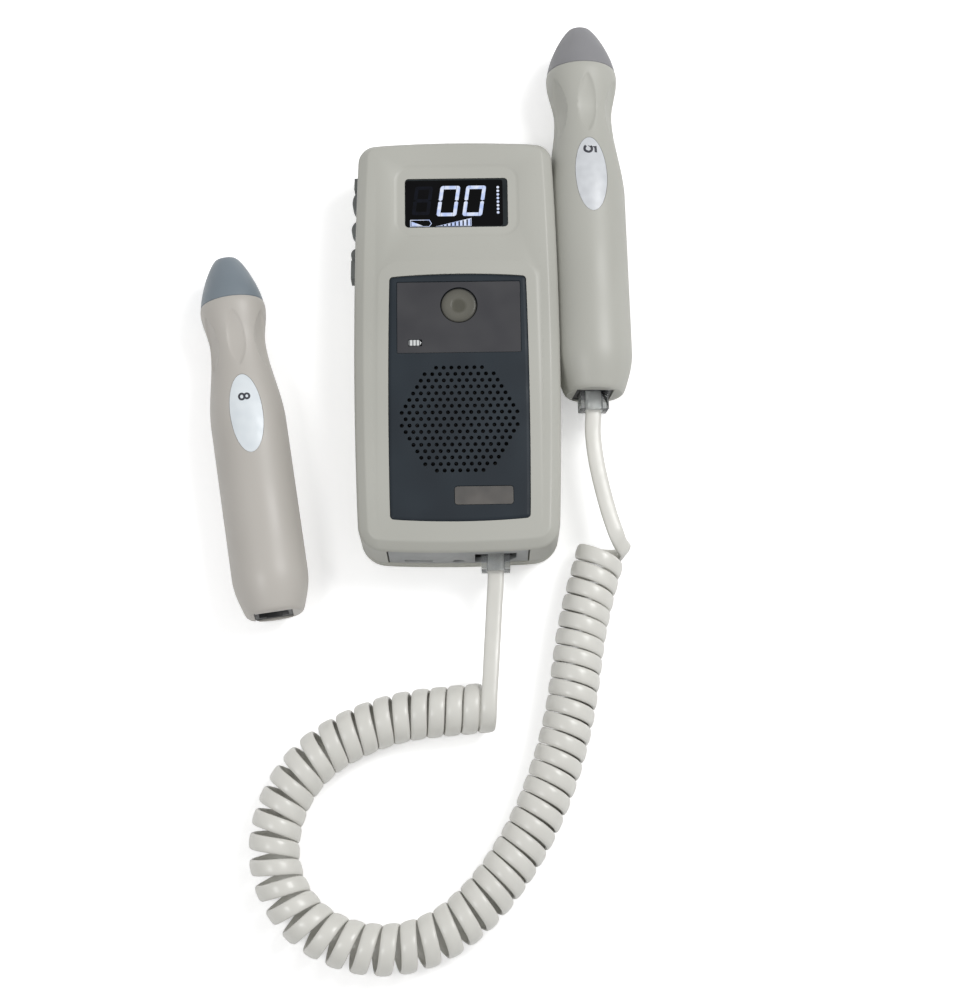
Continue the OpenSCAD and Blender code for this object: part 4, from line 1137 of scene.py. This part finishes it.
def probes():
    lying = rotation(-90, "X")
    docked_place = dock_axis() @ Matrix.Translation((0, DOCKED_END_Y, 0)) @ lying @ rotation(PLUG_TURN, "Z")
    clear = 0.05
    spare_place = Matrix.Translation((*SPARE_AT, PROBE_D * SPARE_SIZE / 2 + clear))
    spare_place = spare_place @ rotation(SPARE_HEADING, "Z") @ lying @ rotation(SPARE_ROLL, "Z")
    docked = Probe(name="docked", body="docked_probe", place=docked_place, size=1.0, seam=143.3,
                   length=163.9, head=30.1, nose=4.3, grips=125.0, oval=92.0)
    spare = Probe(name="spare", body="spare_probe", place=spare_place, size=SPARE_SIZE, seam=141.0,
                  length=162.4, head=28.8, nose=4.9, grips=122.0, oval=86.6)
    for probe, digit, shell, nose, film in (
            (docked, five(-13.2, -2.9, 5.8), shell_plastic, docked_nose, docked_oval),
            (spare, eight(-8.5, -2.5, 5.0), spare_plastic, spare_nose, spare_oval)):
        probe_shell(probe, shell)
        probe_nose(probe, nose)
        oval = oval_slab(probe.name + "_oval", probe, 0.0, *OVAL_FILM)
        seat(oval, probe.body, film, "probe_label", probe.body + "_label", angle=50)
        seat(on_oval(probe.name + "_digit", probe, digit), probe.body, digit_ink, "probe_label")


# Floor, and lights in metres

FLOOR_HALF = 3000
FLOOR_GLOW = 0.36
WORLD_LIGHT = 0.54
LAMP_AIM = (0, -0.03, 0)


def floor():
    """White sheet, which glows a little for the camera alone."""
    side = FLOOR_HALF
    sheet = new_piece("floor", [(-side, -side, 0), (side, -side, 0), (side, side, 0), (-side, side, 0)],
                      [(0, 1, 2, 3)])
    material, tree, shader = finish("white_sweep", Roughness=0.9, Specular_IOR_Level=0.1)
    toned(tree, shader, spots(tree, 300.0), [(0.3, "#f4f4f4"), (0.7, "#f8f8f8")])
    seen = add(tree, "LightPath")
    glow = add(tree, "Math", {0: seen.outputs["Is Camera Ray"], 1: FLOOR_GLOW}, operation="MULTIPLY")
    tree.links.new(glow.outputs["Value"], shader.inputs["Emission Strength"])
    shader.inputs["Emission Color"].default_value = (1, 1, 1, 1)
    sheet.data.materials.append(material)


def lamp(name, at, size, power):
    data = bpy.data.lights.new(name, "AREA")
    data.shape = "SQUARE"
    data.size = size
    data.energy = power
    fixture = placed(name, data)
    fixture.location = at
    fixture.rotation_euler = (Vector(LAMP_AIM) - Vector(at)).to_track_quat("-Z", "Y").to_euler()


def light():
    """White surroundings, a key lamp at the right and a weaker one at the left."""
    world = bpy.data.worlds.new("studio")
    bpy.context.scene.world = world
    world.use_nodes = True
    background = world.node_tree.nodes["Background"]
    background.inputs["Color"].default_value = (1, 1, 1, 1)
    background.inputs["Strength"].default_value = WORLD_LIGHT
    lamp("key", (0.66, 0.32, 0.95), size=0.5, power=7.0)
    lamp("fill", (-0.5, -0.3, 1.0), size=0.3, power=2.4)


def paint(material, *names):
    for name in names:
        for slot in cad[name].material_slots:
            slot.material = material


def kept_pieces():
    """CAD pieces that show as they are, with their finishes."""
    paint(module_grey, "lcd_module")
    paint(led_clear, "status_led")
    paint(steel, "button_switch", "side_key_switches", "charge_socket", "housing_screws",
          "board_screws", "cradle_screws")
    paint(cone_paper, "speaker_cone")
    paint(board_green(), "main_board", "connector_board", "docked_probe_board", "spare_probe_board")
    paint(ribbon_white, "board_ribbon")
    # The speaker frame takes the socket black as painted shade seen through the speaker holes
    paint(dark_sockets_and_hole_shade, "headphone_jack", "speaker_frame")
    paint(cell_wrap(), "battery_cells")
    paint(spring_steel, "battery_contacts")
    paint(crystal_grey, "docked_probe_crystals", "spare_probe_crystals")
    paint(gold, "unit_plug_contacts", "probe_plug_contacts")


def rounded_pieces():
    """CAD pieces with rounded edges; gives back the two plugs."""
    softened("probe_cradle", 0.4, "unit", side_plastic, "housing")
    softened("battery_door", 0.25, "battery_door", side_plastic, "housing")
    softened("end_panel", 0.2, "unit", end_grey, "end_panel")
    softened("side_key_strip", 0.3, "unit", key_rubber, "rubber")
    for key in ("upper", "middle", "lower"):
        softened(key + "_side_key", 0.5, key + "_key", key_rubber, "rubber")
    for body in ("unit", "docked_probe", "spare_probe"):
        softened(body + "_jack", 0.15, body, dark_sockets_and_hole_shade, "dark_plastic")
    clear = clear_plug()
    return [softened(plug, 0.25, body, clear, "clear_plastic")
            for plug, body in (("unit_plug", "unit"), ("probe_plug", "docked_probe"))]


camera()
cord_piece, cord_path, cord_length = cord()
front_housing()
back_housing()
speaker_panel()
control_label()
name_plate()
power_button()
charge_light()
display()
probes()
kept_pieces()
plugs = rounded_pieces()
floor()
light()

bpy.context.scene.view_settings.view_transform = "Standard"
